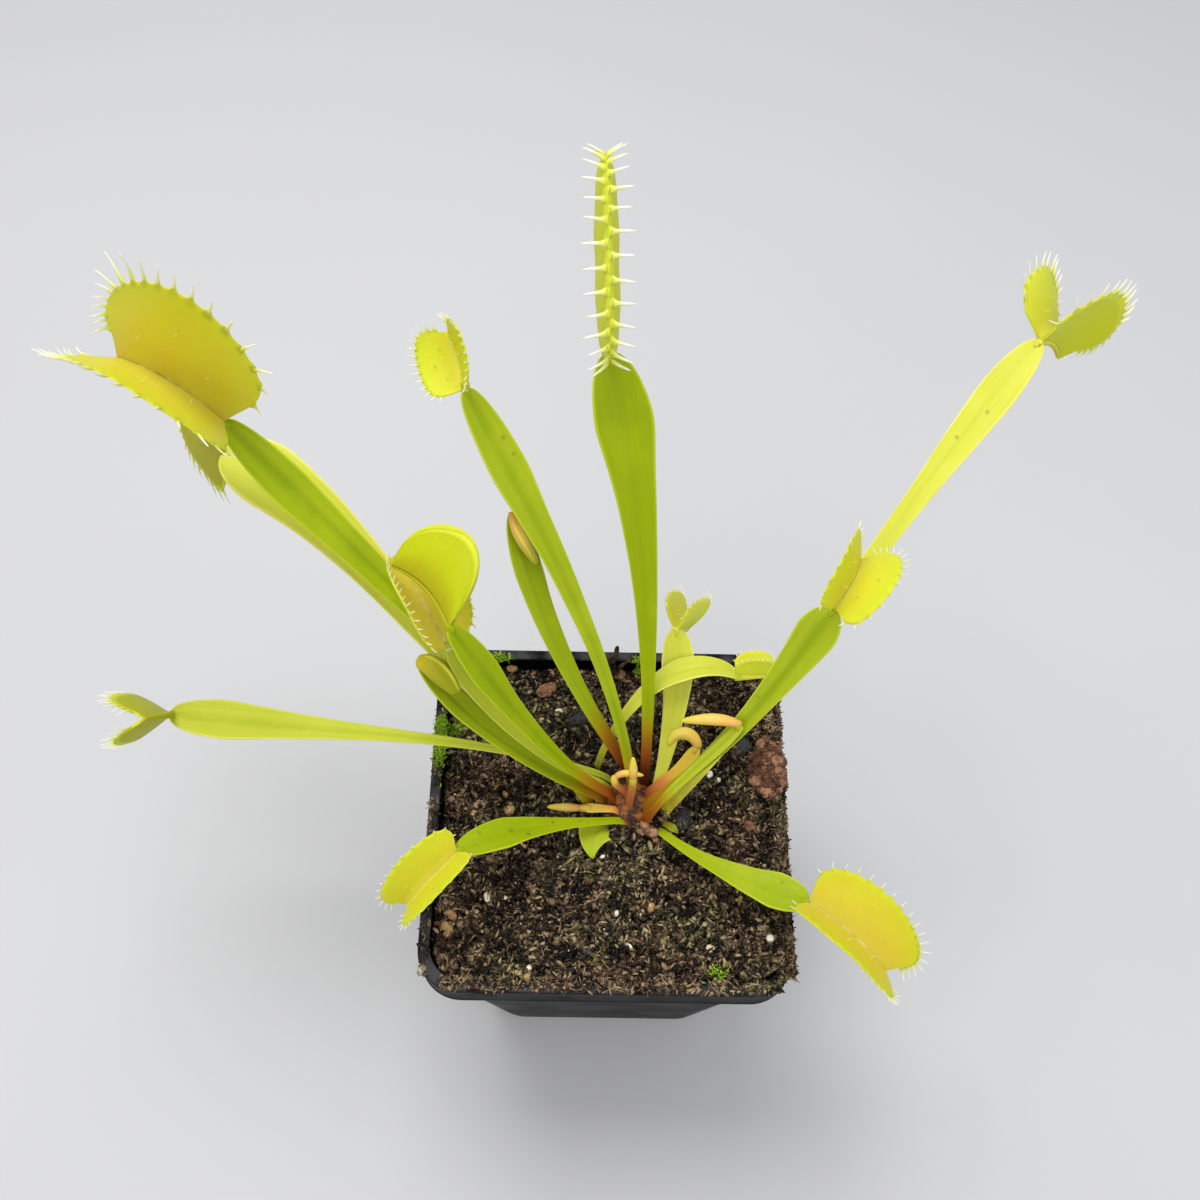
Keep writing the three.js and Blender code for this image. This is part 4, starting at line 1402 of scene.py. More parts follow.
def all_leaves() -> list[Leaf]:
    """Every leaf of the plant, with the same courses and sizes as the CAD solids.

    The rows of a leaf are its course, its widths, its trap or pod, and its look.

    Returns:
        The leaves.
    """
    return [
        Leaf(
            "leaf_upper_left", (-3.5, 1, 79.5), (137, 144, 143), (40, 32, 31), (0, -25),
            119, 4.5, 1.3, 0.83, 2.1,
            Trap(25, 26, 156, 19, -13, 24, -1, -6, (1.2, 1.2), 19, (4.0, 9.8), 8, 0.7, 1.4),
            Look(0.05, 0.4, 0.18, 0.72, 0.3, 0.8, shade=-0.4),
        ),
        Leaf(
            "leaf_upper_left_under", (-2, 5.5, 79), (165, 137, 161), (33, 27, 16), (0, 0),
            116, 8.4, 1.3, 0.9, 2.1,
            Trap(19, 13.5, 126, -3, 185, 14, 0, 1, (0.8, 0.6), 14, (3.5, 6), 15),
            Look(1.0, 0.2, 0.12, 0.5, 0.9, 0.0), Slot.PALE,
        ),
        Leaf(
            "leaf_centre_left", (5.5, 6.5, 81.5), (109, 125, 128), (65, 46, 41), (0, 0),
            101, 4.3, 1.2, 0.81, 2.2,
            Trap(12.4, 8.5, 108, 22, -43, 42, 10, 1, (0.4, 0.6), 14, (1.8, 2.8), 30, 0.9, 1.3),
            Look(0.12, 0.4, 0.2, 0.15, 0.1, 0.5),
        ),
        Leaf(
            "leaf_new_centre_left", (5, 9.5, 81.5), (147, 127, 108), (58, 48, 49), (-5, 0),
            71, 3.2, 1.5, 0.8, 2,
            Pod((-80, -52, -46), (-10, -42, -46), 12.5, 1.6, 1.3, 90, (0.0, 0.55), 0.0, 0.5),
            Look(0.05, 0.85, 0.42, stripe=0.3),
        ),
        Leaf(
            "leaf_tall_centre", (8.5, 7, 80.5), (88, 99, 112), (61, 51, 44), (0, 0),
            102, 6.4, 1.2, 0.85, 2.3,
            Trap(36, 17, 93, 38, 0, 31, -62.5, 2, (0.5, 0.4), 15, (5.2, 4.6), 56, 0.95, 1.85, True),
            Look(0.0, 1.0, 0.27, 0.1, 0.0, 0.15, -0.6),
        ),
        Leaf(
            "leaf_far_right", (12.5, 0, 78.5), (40, 49, 46), (31, 30, 28), (0, 0),
            136, 4.5, 1.2, 0.88, 2.9,
            Trap(15, 17, 30, -48, -23, 31, 0, -1.5, (2.2, 1.3), 19, (3.3, 6.6), 20, 0.68, 1.45),
            Look(1.0, 0.3, 0.12, 0.0, 0.3, 0.1, 0.0, -0.6), Slot.PALE,
        ),
        Leaf(
            "leaf_right", (8, 0.5, 81), (16, 37, 48), (47, 45, 42), (10, 5),
            67, 4.7, 1.45, 0.9, 2.6,
            Trap(14.3, 10.9, 62, -2, 18, 32, 5, -2, (1.3, 1), 15, (1.8, 3.0), 20),
            Look(0.15, 0.6, 0.35, 0.25, 0.15, 0.8, shade=-0.35),
        ),
        Leaf(
            "leaf_lower_right", (11, -3, 78.5), (-52, -32, -21), (29, 18, 7), (-5, 0),
            41, 4.4, 1, 0.81, 2.2,
            Trap(21, 11.5, -41, -7, -13, 46, 6, -2, (0.6, 1.2), 18, (1.6, 3.2), 15, 0.7),
            Look(0.05, 0.15, 0.15, 0.8, 0.1, 0.1, shade=0.05),
        ),
        Leaf(
            "leaf_lower_left", (5, -1.5, 78.5), (-166, -163, -148), (25, 22, 8), (5, 5),
            43, 3.8, 0.9, 0.73, 2.4,
            Trap(15.6, 8.1, -137, -22, 2, 44, 2, -1, (1, 1.1), 14, (0.7, 2.2), 20),
            Look(0.0, 0.15, 0.12, 0.35, 0.2, 0.1, shade=0.08),
        ),
        Leaf(
            "leaf_left", (1.5, 8.5, 78.5), (170, 178, 174), (24, 8, 3), (10, -5),
            103, 4.9, 0.9, 0.87, 3,
            Trap(13.8, 10.2, -101, 62, 105, 32, -1, 1, (0.9, 0.4), 14, (2, 5), 10),
            Look(0.6, 0.1, 0.1, 0.2, 0.55, 0.4, 0.0, -0.1), Slot.PALE,
        ),
        Leaf(
            "leaf_closed_trap", (2, 3, 81.5), (185, 155, 144), (52, 57, 52), (0, 5),
            68, 3.6, 1.3, 0.79, 2.2,
            Trap(19.5, 13.6, 131, -3, 64, 20, -40, -2, (-0.3, 0.6), 7, (0.3, 0.3), 85, shut=True,
                 uneven=0.08),
            Look(0.0, 0.8, 0.4, 0.3, 0.0, 0.7, 0.55, -0.15),
        ),
        Leaf(
            "leaf_open_trap_behind", (0.9, 5.7, 80.6), (195.9, 153.4, 136.5), (53.6, 41.1, 49.1),
            (0, 0), 57.2, 2.8, 1.1, 0.8, 2.2,
            Trap(22.8, 13.4, 121.7, 21, 7.1, 51.2, -41.8, 1, (0, -0.25), 17, (2.6, 1.9), 20, 0.9, 1.2),
            Look(0.45, 0.3, 0.15, 0.95, 0.1, 0.2, 0.0, -1.0),
        ),
        Leaf(
            "leaf_clam_trap", (-0.2, 3, 80.2), (178, 159, 136), (45, 38, 37), (-10, 5),
            58.3, 2.9, 1.5, 0.76, 2.5,
            Pod((-20, -40, -46), (30, -18, -38), 11.5, 2.6, 1.8, 138, (0.95, 1.0), 0.0, 1.0),
            Look(0.1, 0.6, 0.36, stripe=0.5),
        ),
        Leaf(
            "leaf_back_upright", (11, 4.5, 79.5), (71, 81, 99), (48, 39, 20), (0, 0),
            40, 3.9, 1.1, 0.79, 1.4,
            Trap(10.5, 8.8, 53, -54, -19, 34, -20, 0, (1.5, 1.3), 17, (1.6, 2.4), 10),
            Look(0.9, 0.0, 0.1, 0.1, 0.0, 0.1, -1.0, -1.0), Slot.PALE,
        ),
        Leaf(
            "leaf_back_arching", (-2.5, 12, 80), (48, 33, -16), (64, 35, -34), (0, -20),
            47, 3.4, 0.9, 0.7, 2.6,
            Trap(8, 5.5, 2, 4, -40, 26, 0, 0, (0.5, 0.5), 14, (0.6, 1.0), 10),
            Look(0.8, 0.1, 0.1, 0.1, 0.0, 0.1, -1.0, -0.7),
        ),
        Leaf(
            "new_leaf_folded_right", (8.5, -2.6, 80.2), (40, 30, 37.5), (62, 47, 46.5), (0, 0),
            36.2, 1.4, 1, 0.83, 2.2,
            Pod((155, 176, 182), (2, -8, -9), 13.2, 1.35, 1.15, -70, (0.0, 0.12), 0.15, 0.35),
            Look(0.4, 0.8, 0.5, stripe=0.5), Slot.NEW,
        ),
        Leaf(
            "new_leaf_hooked_right", (8.5, 4, 81), (9, 28, 49), (50, 44, 45), (0, 0),
            18.8, 1.6, 1.2, 0.82, 2.1,
            Pod((95, 178, 262), (30, -2, -50), 10.0, 1.5, 1.3, 90, (0.2, 0.5), 0.1, 0.2),
            Look(0.3, 0.9, 0.75, stripe=0.3), Slot.NEW, YOUNG,
        ),
        Leaf(
            "sprout_upright", (4.9, 1.2, 80.4), (75, 72, 80), (80, 80, 76), (0, 0),
            11, 0.9, 0.9, 0.8, 1.5,
            Pod((93, 93, 93), (60, 46, 40), 6, 1, 0.9, 90, (0.0, 0.25), 0.35, 0.2),
            Look(0.8, 0.8, 1.6, stripe=0.0), Slot.NEW, YOUNG,
        ),
        Leaf(
            "sprout_hooked", (4.5, 3.7, 81), (161, 161, 158), (54, 54, 50), (0, 0),
            6.2, 0.9, 0.8, 0.8, 1.5,
            Pod((75, 3, -5), (12, 0, -3), 8, 0.85, 0.75, 90, (0.0, 0.0), 0.5, 0.1),
            Look(0.8, 0.8, 1.6, stripe=0.0), Slot.NEW, YOUNG,
        ),
        Leaf(
            "new_leaf_folded_left", (2.9, 0.2, 80.4), (180, 181, 181), (16, 8, 2), (0, 0),
            8.5, 1.2, 0.8, 0.8, 1.6,
            Pod((180, 180, 181), (4, 4, 0), 8.5, 1, 0.9, -80, (0.0, 0.0), 0.5, 0.2),
            Look(0.95, 0.55, 0.6, stripe=0.0), Slot.NEW, YOUNG,
        ),
        Leaf(
            "small_blade_lower_left", (0.2, -2.6, 77.9), (-165, -110, -75), (30, 6, -6), (0, 0),
            10.5, 4.3, 0.8, 0.42, 1.3, None, Look(0.2, 0.1, 0.2, stripe=0.1),
        ),
        Leaf(
            "stub_lower_right", (13, -2, 78.4), (-38, -40, -44), (24, 16, 8), (0, 0),
            4.5, 1.1, 0.7, 0.6, 1.4, None, Look(0.3, 0.4, 0.8, shade=0.5),
        ),
    ]


# Pot


def rounded_square(half: Any, corner: Any, z: Any, steps: int = 16) -> Array:
    """Rings of a square with round corners: each quarter is an arc about (half - corner).

    Args:
        half: half of the side, one number for each ring.
        corner: corner radius of each ring.
        z: height of each ring.
        steps: steps in a corner.

    Returns:
        Points, shape (rings, 4 (steps + 1), 3).
    """
    half, corner, z = [np.asarray(v, dtype=float)[:, None] for v in (half, corner, z)]
    quarter = np.repeat(np.arange(4), steps + 1)
    angle = (quarter + np.tile(np.linspace(0, 1, steps + 1), 4)) * np.pi / 2
    middle = (quarter + 0.5) * np.pi / 2
    x = np.sign(np.cos(middle)) * (half - corner) + corner * np.cos(angle)
    y = np.sign(np.sin(middle)) * (half - corner) + corner * np.sin(angle)
    return stacked(x, y, z)


def pot_half(z: Any) -> Any:
    """Half side of the tapered wall's outside at height z."""
    return (BASE_SIDE + (RIM_SIDE - 2 * LIP_PROUD - BASE_SIDE) * z / POT_HEIGHT) / 2


def pot_corner(z: Any) -> Any:
    """Corner radius of the wall's outside at height z."""
    return BASE_CORNER + (RIM_CORNER - BASE_CORNER) * z / POT_HEIGHT


@dataclass
class Pot:
    """Square nursery pot with a skirted lip and a ring of drain holes in its floor.

    drain is a hole's diameter and ring the radius of the circle that they stand on, in mm.
    """

    drain: float = 5.5
    ring: float = 20.0
    count: int = 8

    def profile(self) -> Array:
        """The wall's section from the outer underside over the lip to the inner floor.

        Returns:
            Rows of outward shift from the wall's line and height, in mm.
        """
        foot = POT_HEIGHT - LIP_HEIGHT
        proud = (RIM_SIDE / 2 - LIP_DRAFT / 2) - pot_half(foot)
        top = RIM_SIDE / 2 - pot_half(POT_HEIGHT)
        return np.array([
            (-1.6, 0.0), (-0.9, 0.06), (-0.35, 0.3), (-0.05, 0.9), (0, 1.6), (0, 20), (0, 40),
            (0, 58), (0, foot - 1.2), (0.05, foot - 0.5), (0.25, foot - 0.1), (0.7, foot),
            (proud - 0.5, foot), (proud + 0.05, foot + 0.12), (proud + 0.22, foot + 0.45),
            (proud + 0.22, foot + 1.0), (proud + 0.08, foot + 1.35), (proud + 0.01, foot + 1.7),
            ((proud + top) / 2, foot + 5), (top, POT_HEIGHT - 1.2), (top, POT_HEIGHT - 0.45),
            (top - 0.13, POT_HEIGHT - 0.15), (top - 0.42, POT_HEIGHT), (-0.6, POT_HEIGHT),
            (-WALL + 0.3, POT_HEIGHT - 0.05), (-WALL, POT_HEIGHT - 0.4), (-WALL, 76), (-WALL, 60),
            (-WALL, 30), (-WALL, FLOOR + 1.5), (-WALL - 0.4, FLOOR + 0.4), (-WALL - 1.5, FLOOR),
        ])

    def build(self) -> bpy.types.Object:
        """The pot's object: the section carried round, with its drain holes cut.

        Returns:
            The object.
        """
        shift, z = self.profile().T
        wall = rounded_square(pot_half(z) + shift, pot_corner(z) + np.minimum(shift, 0.3), z)
        made = piece("nursery_pot", [lofted(wall)], [PLASTIC], Slot.POT, ["pot"])
        turn = turns(self.count, 0.5)
        centre = self.ring * np.stack([np.cos(turn), np.sin(turn), 0 * turn], -1)
        axis = np.array([(0, 0, -2.0), (0, 0, 4.0)])
        x_axis, y_axis, _ = np.eye(3)
        holes = tube(centre[:, None] + axis, x_axis, y_axis, self.drain / 2, self.drain / 2, 28)
        drill = piece("drill", [lofted(holes)], [PLASTIC], Slot.POT)
        cut = made.modifiers.new("drains", "BOOLEAN")
        cut.operation, cut.object, cut.solver = "DIFFERENCE", drill, "EXACT"
        bpy.context.view_layer.update()
        graph = bpy.context.evaluated_depsgraph_get()
        whole = bpy.data.meshes.new_from_object(made.evaluated_get(graph), depsgraph=graph)
        made.modifiers.remove(cut)
        made.data = whole
        bpy.data.objects.remove(drill)
        return made


# Soil, moss and loose pieces


def square_map(u: Array, v: Array, half: float, corner: float) -> tuple[Array, Array]:
    """Maps the square of -1 to 1 onto a square with round corners.

    In each corner cell the offsets a and b become a sqrt(1 - b^2/2c^2) and b sqrt(1 - a^2/2c^2).

    Args:
        u: place across, -1 to 1.
        v: place along, -1 to 1.
        half: half of the side in mm.
        corner: corner radius c in mm.

    Returns:
        x and y in mm.
    """
    x, y = u * half, v * half
    a, b = [np.clip(np.abs(w) - (half - corner), 0, corner) for w in (x, y)]
    x = x + np.sign(x) * a * (np.sqrt(1 - b * b / (2 * corner**2)) - 1)
    y = y + np.sign(y) * b * (np.sqrt(1 - a * a / (2 * corner**2)) - 1)
    return x, y


@dataclass
class Bed:
    """The peat in the pot, heaped to the rim in front and at the right.

    cells is the number of grid points along a side; inset keeps it off the pot's wall, in mm.
    """

    cells: int = 262
    inset: float = WALL + 0.1

    def level(self, x: Array, y: Array) -> Array:
        """Broad height of the soil: the CAD form, and a heap towards the front and right rim.

        Args:
            x: places in mm.
            y: places in mm.

        Returns:
            Heights in mm.
        """
        slope = SOIL_RISE * (x - y) / (RIM_SIDE / 2)
        waves = 0.35 * np.sin(0.42 * x + 1.3) * np.cos(0.37 * y) + 0.25 * np.sin(0.9 * x + 0.7 * y)
        heap = np.maximum(smooth(-24, -38, y) * 1.5, smooth(24, 38, x) * 1.6)
        return SOIL_LEVEL + slope + waves + heap - 0.8 * smooth(22, 36, y)

    def height(self, x: Array, y: Array) -> Array:
        """The level with lumps of 5 mm and 2.2 mm and fibrous ridges of about 1 mm.

        Args:
            x: places in mm.
            y: places in mm.

        Returns:
            Heights in mm.
        """
        p = np.stack([x, y], -1)
        lumps = 0.6 * ripple(p, 5.0, 11) + 0.65 * ridges(p, 2.2, 12)
        return self.level(x, y) + lumps + 0.4 * ridges(p, 1.0, 13) + 0.2 * ripple(p, 0.55, 14)

    def skin(self) -> Skin:
        """The bed's closed skin: a fine top, a wall down the taper and a flat underside.

        Returns:
            The skin, its tint lighter on the lumps and darker in the hollows, as painted light and shade.
        """
        n = self.cells
        u, v = np.meshgrid(np.linspace(-1, 1, n), np.linspace(-1, 1, n), indexing="ij")
        x, y = square_map(u, v, pot_half(MOUTH_LEVEL) - self.inset, pot_corner(MOUTH_LEVEL) - self.inset)
        height = self.height(x, y)
        index = np.arange(n * n).reshape(n, n)
        top = np.stack([index[:-1, :-1], index[1:, :-1], index[1:, 1:], index[:-1, 1:]], -1)
        loop = np.concatenate([index[:-1, 0], index[-1, :-1], index[:0:-1, -1], index[0, :0:-1]])
        low_half, low_corner = pot_half(FLOOR) - self.inset - 0.6, pot_corner(FLOOR) - self.inset
        low = stacked(*square_map(u.ravel()[loop], v.ravel()[loop], low_half, low_corner), FLOOR + 0.2)
        under = np.arange(len(loop)) + n * n
        wall = np.stack([np.roll(loop, -1), loop, under, np.roll(under, -1)], -1)
        j = np.arange(len(loop) // 2 - 1)
        flat = np.stack([j + 1, j, len(loop) - 1 - j, len(loop) - 2 - j], -1) + n * n
        points = np.vstack([stacked(x, y, height).reshape(-1, 3), low])
        faces = outward(points[None], np.vstack([top.reshape(-1, 4), wall, flat]))[0]
        # Painted light and shade: the tint rises with the height over the broad level.
        rise = np.concatenate([(height - self.level(x, y)).ravel(), np.zeros(len(loop))])
        zero = np.zeros_like(points)
        return Skin(points, faces, zero, zero, stacked(0.2 + 0.24 * np.clip(rise, -0.8, 1.4), 0, 0))

    def scatter(self, count: int, rng: np.random.Generator) -> Array:
        """Random x and y in the pot's mouth, shape (count, 2)."""
        u, v = rng.uniform(-0.985, 0.985, (2, count))
        return np.stack(square_map(u, v, pot_half(MOUTH_LEVEL) - WALL, 8.0), -1)

    def raised(self, xy: Array, lift: Any = 0.0) -> Array:
        """Points on the bed at x and y, raised by lift."""
        return np.column_stack([xy, self.height(xy[:, 0], xy[:, 1]) + lift])


@dataclass
class Lumps:
    """A batch of small rough lumps: grains, crumbs, perlite or stones.

    sizes are radii in mm, and rough is how far the skin is pushed in and out, as a share.
    """

    centres: Array
    sizes: Array
    tints: Array
    seed: int
    stations: int = 3
    around: int = 5
    flatness: float = 0.7
    rough: float = 0.22

    def skin(self, finish: int = 0) -> Skin:
        """Each is a squashed ball: rings at equal polar angles, pushed in and out at random.

        Args:
            finish: index of the piece's material.

        Returns:
            The lumps' skin.
        """
        rng = np.random.default_rng(self.seed)
        n = len(self.centres)
        edge = 0.5 / self.stations
        polar = np.linspace(edge, 1 - edge, self.stations)[:, None] * np.pi
        turn = turns(self.around)
        ball = stacked(np.sin(polar) * np.cos(turn), np.sin(polar) * np.sin(turn), np.cos(polar))
        push = rng.uniform(-1, 1, (n, self.stations, self.around))
        if self.stations > 6:
            at = ball + rng.uniform(0, 60, (n, 1, 1, 3))
            push = 1.2 * ripple(at, 1.1, self.seed) + 0.6 * ridges(at, 0.45, self.seed)
        stretch = np.concatenate(
            [rng.uniform(0.75, 1.25, (n, 1, 1, 2)), np.full((n, 1, 1, 1), self.flatness)], -1
        )
        x, y, z = np.moveaxis(ball * (1 + self.rough * push)[..., None] * stretch, -1, 0)
        yaw = rng.uniform(0, 2 * np.pi, (n, 1, 1))
        tilt = rng.uniform(-0.5, 0.5, (n, 1, 1))
        y, z = y * np.cos(tilt) - z * np.sin(tilt), y * np.sin(tilt) + z * np.cos(tilt)
        x, y = x * np.cos(yaw) - y * np.sin(yaw), x * np.sin(yaw) + y * np.cos(yaw)
        rings = self.centres[:, None, None] + np.stack([x, y, z], -1) * self.sizes[:, None, None, None]
        return lofted(rings, 0.0, 0.0, stacked(self.tints[:, None, None], 0, 0), finish)


@dataclass
class Strands:
    """A batch of thin strands: peat fibres, root threads or moss leaves.

    lengths and halves, their half widths, are in mm; tip is the share of the width at the ends.
    """

    starts: Array
    aims: Array
    lengths: Array
    halves: Array
    tints: Array
    seed: int
    stations: int = 3
    curl: float = 0.25
    tip: float = 0.3

    def skin(self) -> Skin:
        """Each is a three-sided loft along start + aim L q + curl L (q^2 - 0.6 q), thinner at its ends.

        Returns:
            The strands' skin.
        """
        rng = np.random.default_rng(self.seed)
        n = len(self.starts)
        q = np.linspace(0, 1, self.stations)[:, None]
        aim = unit(self.aims)
        side = unit(np.cross(aim, unit(rng.normal(size=(n, 3)))))
        normal = np.cross(aim, side)
        bend = side * rng.uniform(-1, 1, (n, 1)) + normal * rng.uniform(-0.3, 0.6, (n, 1))
        course = aim[:, None] * q + bend[:, None] * self.curl * (q * q - q * 0.6)
        line = self.starts[:, None] + self.lengths[:, None, None] * course
        half = self.tip + (1 - self.tip) * np.sin(np.pi * (0.12 + 0.8 * q))
        half = self.halves[:, None, None] * half
        rings = tube(line, side[:, None], normal[:, None], 1.5 * half, 0.96 * half, 3, 0.5)
        return lofted(rings, stacked(q, 0, 0), 0.0, stacked(self.tints[:, None, None], 0, 0))


@dataclass
class Topping:
    """Everything loose on the bed: fibres, crumbs, grit, bark, moss and what hangs over the rim."""

    bed: Bed

    def level_aims(self, count: int, rng: np.random.Generator, rise: float, spread: float) -> Array:
        """Random directions that lie nearly flat, with the mean and spread of their rise in radians."""
        turn = rng.uniform(0, 2 * np.pi, count)
        return direction(np.degrees(turn), np.degrees(rng.normal(rise, spread, count)))

    def tints(self, count: int, rng: np.random.Generator) -> Array:
        """Tints of peat: mostly brown, some pale, few black."""
        return 0.16 + 0.84 * rng.uniform(0, 1, count) ** 1.1

    def fibres(self, name: str, count: int, seed: int) -> None:
        """Lays peat fibres over the bed, 0.7 to 3.5 mm long.

        Args:
            name: the piece's name.
            count: how many.
            seed: picks them.
        """
        rng = np.random.default_rng(seed)
        xy = self.bed.scatter(count, rng)
        aims = self.level_aims(count, rng, 0.06, 0.32)
        lengths = rng.uniform(0.7, 2.1, count) * (1 + 0.7 * (rng.uniform(0, 1, count) > 0.9))
        lift = rng.uniform(-0.2, 0.45, count)
        starts = self.bed.raised(xy, lift) - aims * lengths[:, None] / 2
        halves = 0.13 + 0.4 * rng.uniform(0, 1, count) ** 1.8
        # Painted shade: fibres that lie low in the bed are darker, the lower the darker.
        tints = self.tints(count, rng) * smooth(-0.4, 0.25, lift)
        strands = Strands(starts, aims, lengths, halves, tints, seed + 1)
        piece(name, [strands.skin()], [FIBRE], Slot.SOIL)

    def crumbs(self) -> None:
        """Strews crumbs of peat, 0.5 to 2 mm."""
        count, rng = 2900, np.random.default_rng(71)
        xy = self.bed.scatter(count, rng)
        sizes = rng.uniform(0.25, 0.6, count) + 0.4 * (rng.uniform(0, 1, count) > 0.9)
        centres = self.bed.raised(xy, rng.uniform(-0.1, 0.15, count))
        lumps = Lumps(centres, sizes, self.tints(count, rng), 72)
        piece("peat_crumbs", [lumps.skin()], [FIBRE], Slot.SOIL)

    def grit(self) -> None:
        """Perlite and tan grit where the bed shows it, and a sprinkle of tiny grains.

        A spot is x, y, size and tint.
        """
        spots = np.array([
            (-24, 39, 1.9, 0.3), (-23, 1, 1.3, 0.25), (-24, 5, 1.0, 0.1), (-31, 0, 0.9, 0.3),
            (-30, -2, 0.8, 0.55), (-35, 9, 0.9, 0.1), (-27, -20, 0.9, 0.75), (-23, -20, 0.6, 0.85),
            (-36, -27, 1.9, 0.3), (-35, -24, 1.3, 0.15), (-17, -38, 0.9, 0.15), (-17, -36, 0.6, 0.7),
            (-13, -30, 0.5, 0.2), (-11, -10, 0.6, 0.6), (-1, -10, 0.6, 0.85), (2, -23, 1.0, 0.85),
            (10, -22, 1.0, 0.2), (5, -31, 0.7, 0.95), (23, -31, 0.9, 0.6), (36, -29, 1.3, 0.95),
            (30, -20, 0.6, 0.1), (39, 2, 1.0, 1.0), (24, 10, 0.9, 0.9), (26, 9, 0.6, 0.8),
            (10, -38, 0.7, 1.0), (-8, 34, 1.2, 0.35), (-12, 26, 0.9, 0.7), (-16, 24, 0.8, 0.3),
        ])
        count, rng = 260, np.random.default_rng(73)
        xy = self.bed.scatter(count, rng)
        sizes, tints = rng.uniform(0.14, 0.34, count), rng.uniform(0, 1, count)
        place = self.bed.raised(spots[:, :2], 0.15)
        coarse = Lumps(place, spots[:, 2], spots[:, 3], 74, 9, 12, 0.8, 0.18)
        fine = Lumps(self.bed.raised(xy, 0.1), sizes, tints, 75)
        piece("grit_grains", [coarse.skin(), fine.skin()], [PERLITE], Slot.SOIL)

    def chips(self) -> None:
        """Bark and charcoal chips: large lumps with a rough skin, each x, y and size, and a heap."""
        bark = np.array([(37.8, 12, 2.6), (37.0, 8, 2.2), (33, -3, 1.3), (-15, 32, 1.7), (3, 37, 1.6)])
        coal = np.array([(-7, 24, 3.0), (17, -1, 2.3), (32, 17, 2.0), (-4, -32, 1.8), (4, 21, 1.4)])
        count, rng = 190, np.random.default_rng(78)
        angle, out = rng.uniform(0, 2 * np.pi, count), rng.uniform(0, 1, count) ** 0.6
        x, y = 37.6 + 3.6 * out * np.cos(angle), 11.0 + 7.4 * out * np.sin(angle)
        centres = stacked(x, y, POT_HEIGHT + 1.6 * (1 - out**2)) + rng.uniform(-0.3, 0.5, (count, 3))
        sizes, tints = rng.uniform(0.6, 1.5, count), rng.uniform(0.1, 1.0, count)
        heap = Lumps(centres, sizes, tints, 79, 6, 8, 0.75, 0.3)
        place = self.bed.raised(bark[:, :2], 0.1)
        single = Lumps(place, bark[:, 2], np.linspace(0.4, 0.7, 5), 76, 18, 28, 0.6, 0.36)
        piece("bark_chips", [heap.skin(), single.skin()], [BARK], Slot.SOIL)
        place = self.bed.raised(coal[:, :2], -0.3)
        lumps = Lumps(place, coal[:, 2], np.linspace(0.3, 0.6, 5), 77, 14, 20, 0.5, 0.4)
        piece("charcoal_chips", [lumps.skin()], [SLATE], Slot.SOIL)

    def moss(self) -> None:
        """Cushion moss: tufts of tiny upright leaves along the left rim and in small patches.

        A patch is x, y, its two half widths and its number of leaves.
        """
        rng = np.random.default_rng(81)
        patches = [
            (-39.6, 14.0, 1.4, 3.6, 420), (-39.8, 20.0, 1.3, 3.4, 320), (-36.5, 21.5, 2.4, 1.6, 160),
            (-27.0, 39.0, 3.2, 0.8, 140), (7.5, 38.3, 1.5, 1.6, 190), (-4.0, -14.5, 1.3, 1.2, 40),
            (24.5, -36.3, 2.8, 1.5, 110), (-3.0, -33.5, 4.5, 3.0, 90), (-1.5, 9.0, 2.0, 2.0, 30),
        ]
        tufts = [rng.normal(0, 0.5, (n, 2)) * (wide, deep) + (x, y) for x, y, wide, deep, n in patches]
        xy = np.clip(np.vstack(tufts), -40.9, 40.9)
        tall = np.concatenate([np.full(len(tuft), 1.0 if len(tuft) > 100 else 0.6) for tuft in tufts])
        starts = self.bed.raised(xy, -0.2)
        starts[np.max(np.abs(xy), axis=1) > 38.4, 2] = POT_HEIGHT - 0.2
        count = len(xy)
        aims = unit(rng.normal(0, 0.55, (count, 3)) + (0, 0, 1))
        lengths, halves = tall * rng.uniform(0.7, 1.9, count), tall * rng.uniform(0.1, 0.2, count)
        tints = rng.uniform(0, 1, count)
        strands = Strands(starts, aims, lengths, halves, tints, 82, 4, 0.4, 0.15)
        piece("cushion_moss", [strands.skin()], [MossLeaf("cushion moss")], Slot.SOIL)

    def rim_debris(self) -> None:
        """Fibres and crumbs on the lip, thick at the right, some hanging over its edge."""
        count, rng = 3200, np.random.default_rng(91)
        share = rng.uniform(0, 1, count)
        y = rng.uniform(-38, 36, count)
        x = rng.uniform(37.5, 41.4, count)
        x = np.where(share < 0.3, rng.uniform(-36, 38, count), x)
        y = np.where(share < 0.3, rng.uniform(-41.0, -38.0, count), y)
        x = np.where(share > 0.93, rng.uniform(-41.2, -39, count), x)
        aims = self.level_aims(count, rng, -0.05, 0.25)
        lengths = rng.uniform(0.7, 2.3, count)
        heap = 0.9 * smooth(41.4, 38.5, x) * (x > 36)
        starts = stacked(x, y, POT_HEIGHT + 0.1 + heap + rng.uniform(-0.3, 0.4, count))
        starts = starts - aims * lengths[:, None] / 2
        halves = rng.uniform(0.1, 0.28, count)
        fibres = Strands(starts, aims, lengths, halves, self.tints(count, rng), 92)
        few = 1300
        pick = rng.permutation(count)[:few]
        centres = stacked(x, y, POT_HEIGHT + 0.1 + 0.8 * heap)[pick]
        crumbs = Lumps(centres, rng.uniform(0.2, 0.6, few), self.tints(few, rng), 93)
        piece("rim_debris", [fibres.skin(), crumbs.skin()], [FIBRE], Slot.SOIL)

    def build(self) -> None:
        """All the loose pieces."""
        self.fibres("peat_fibres_a", 7500, 61)
        self.fibres("peat_fibres_b", 7500, 65)
        self.crumbs()
        self.grit()
        self.chips()
        self.moss()
        self.rim_debris()


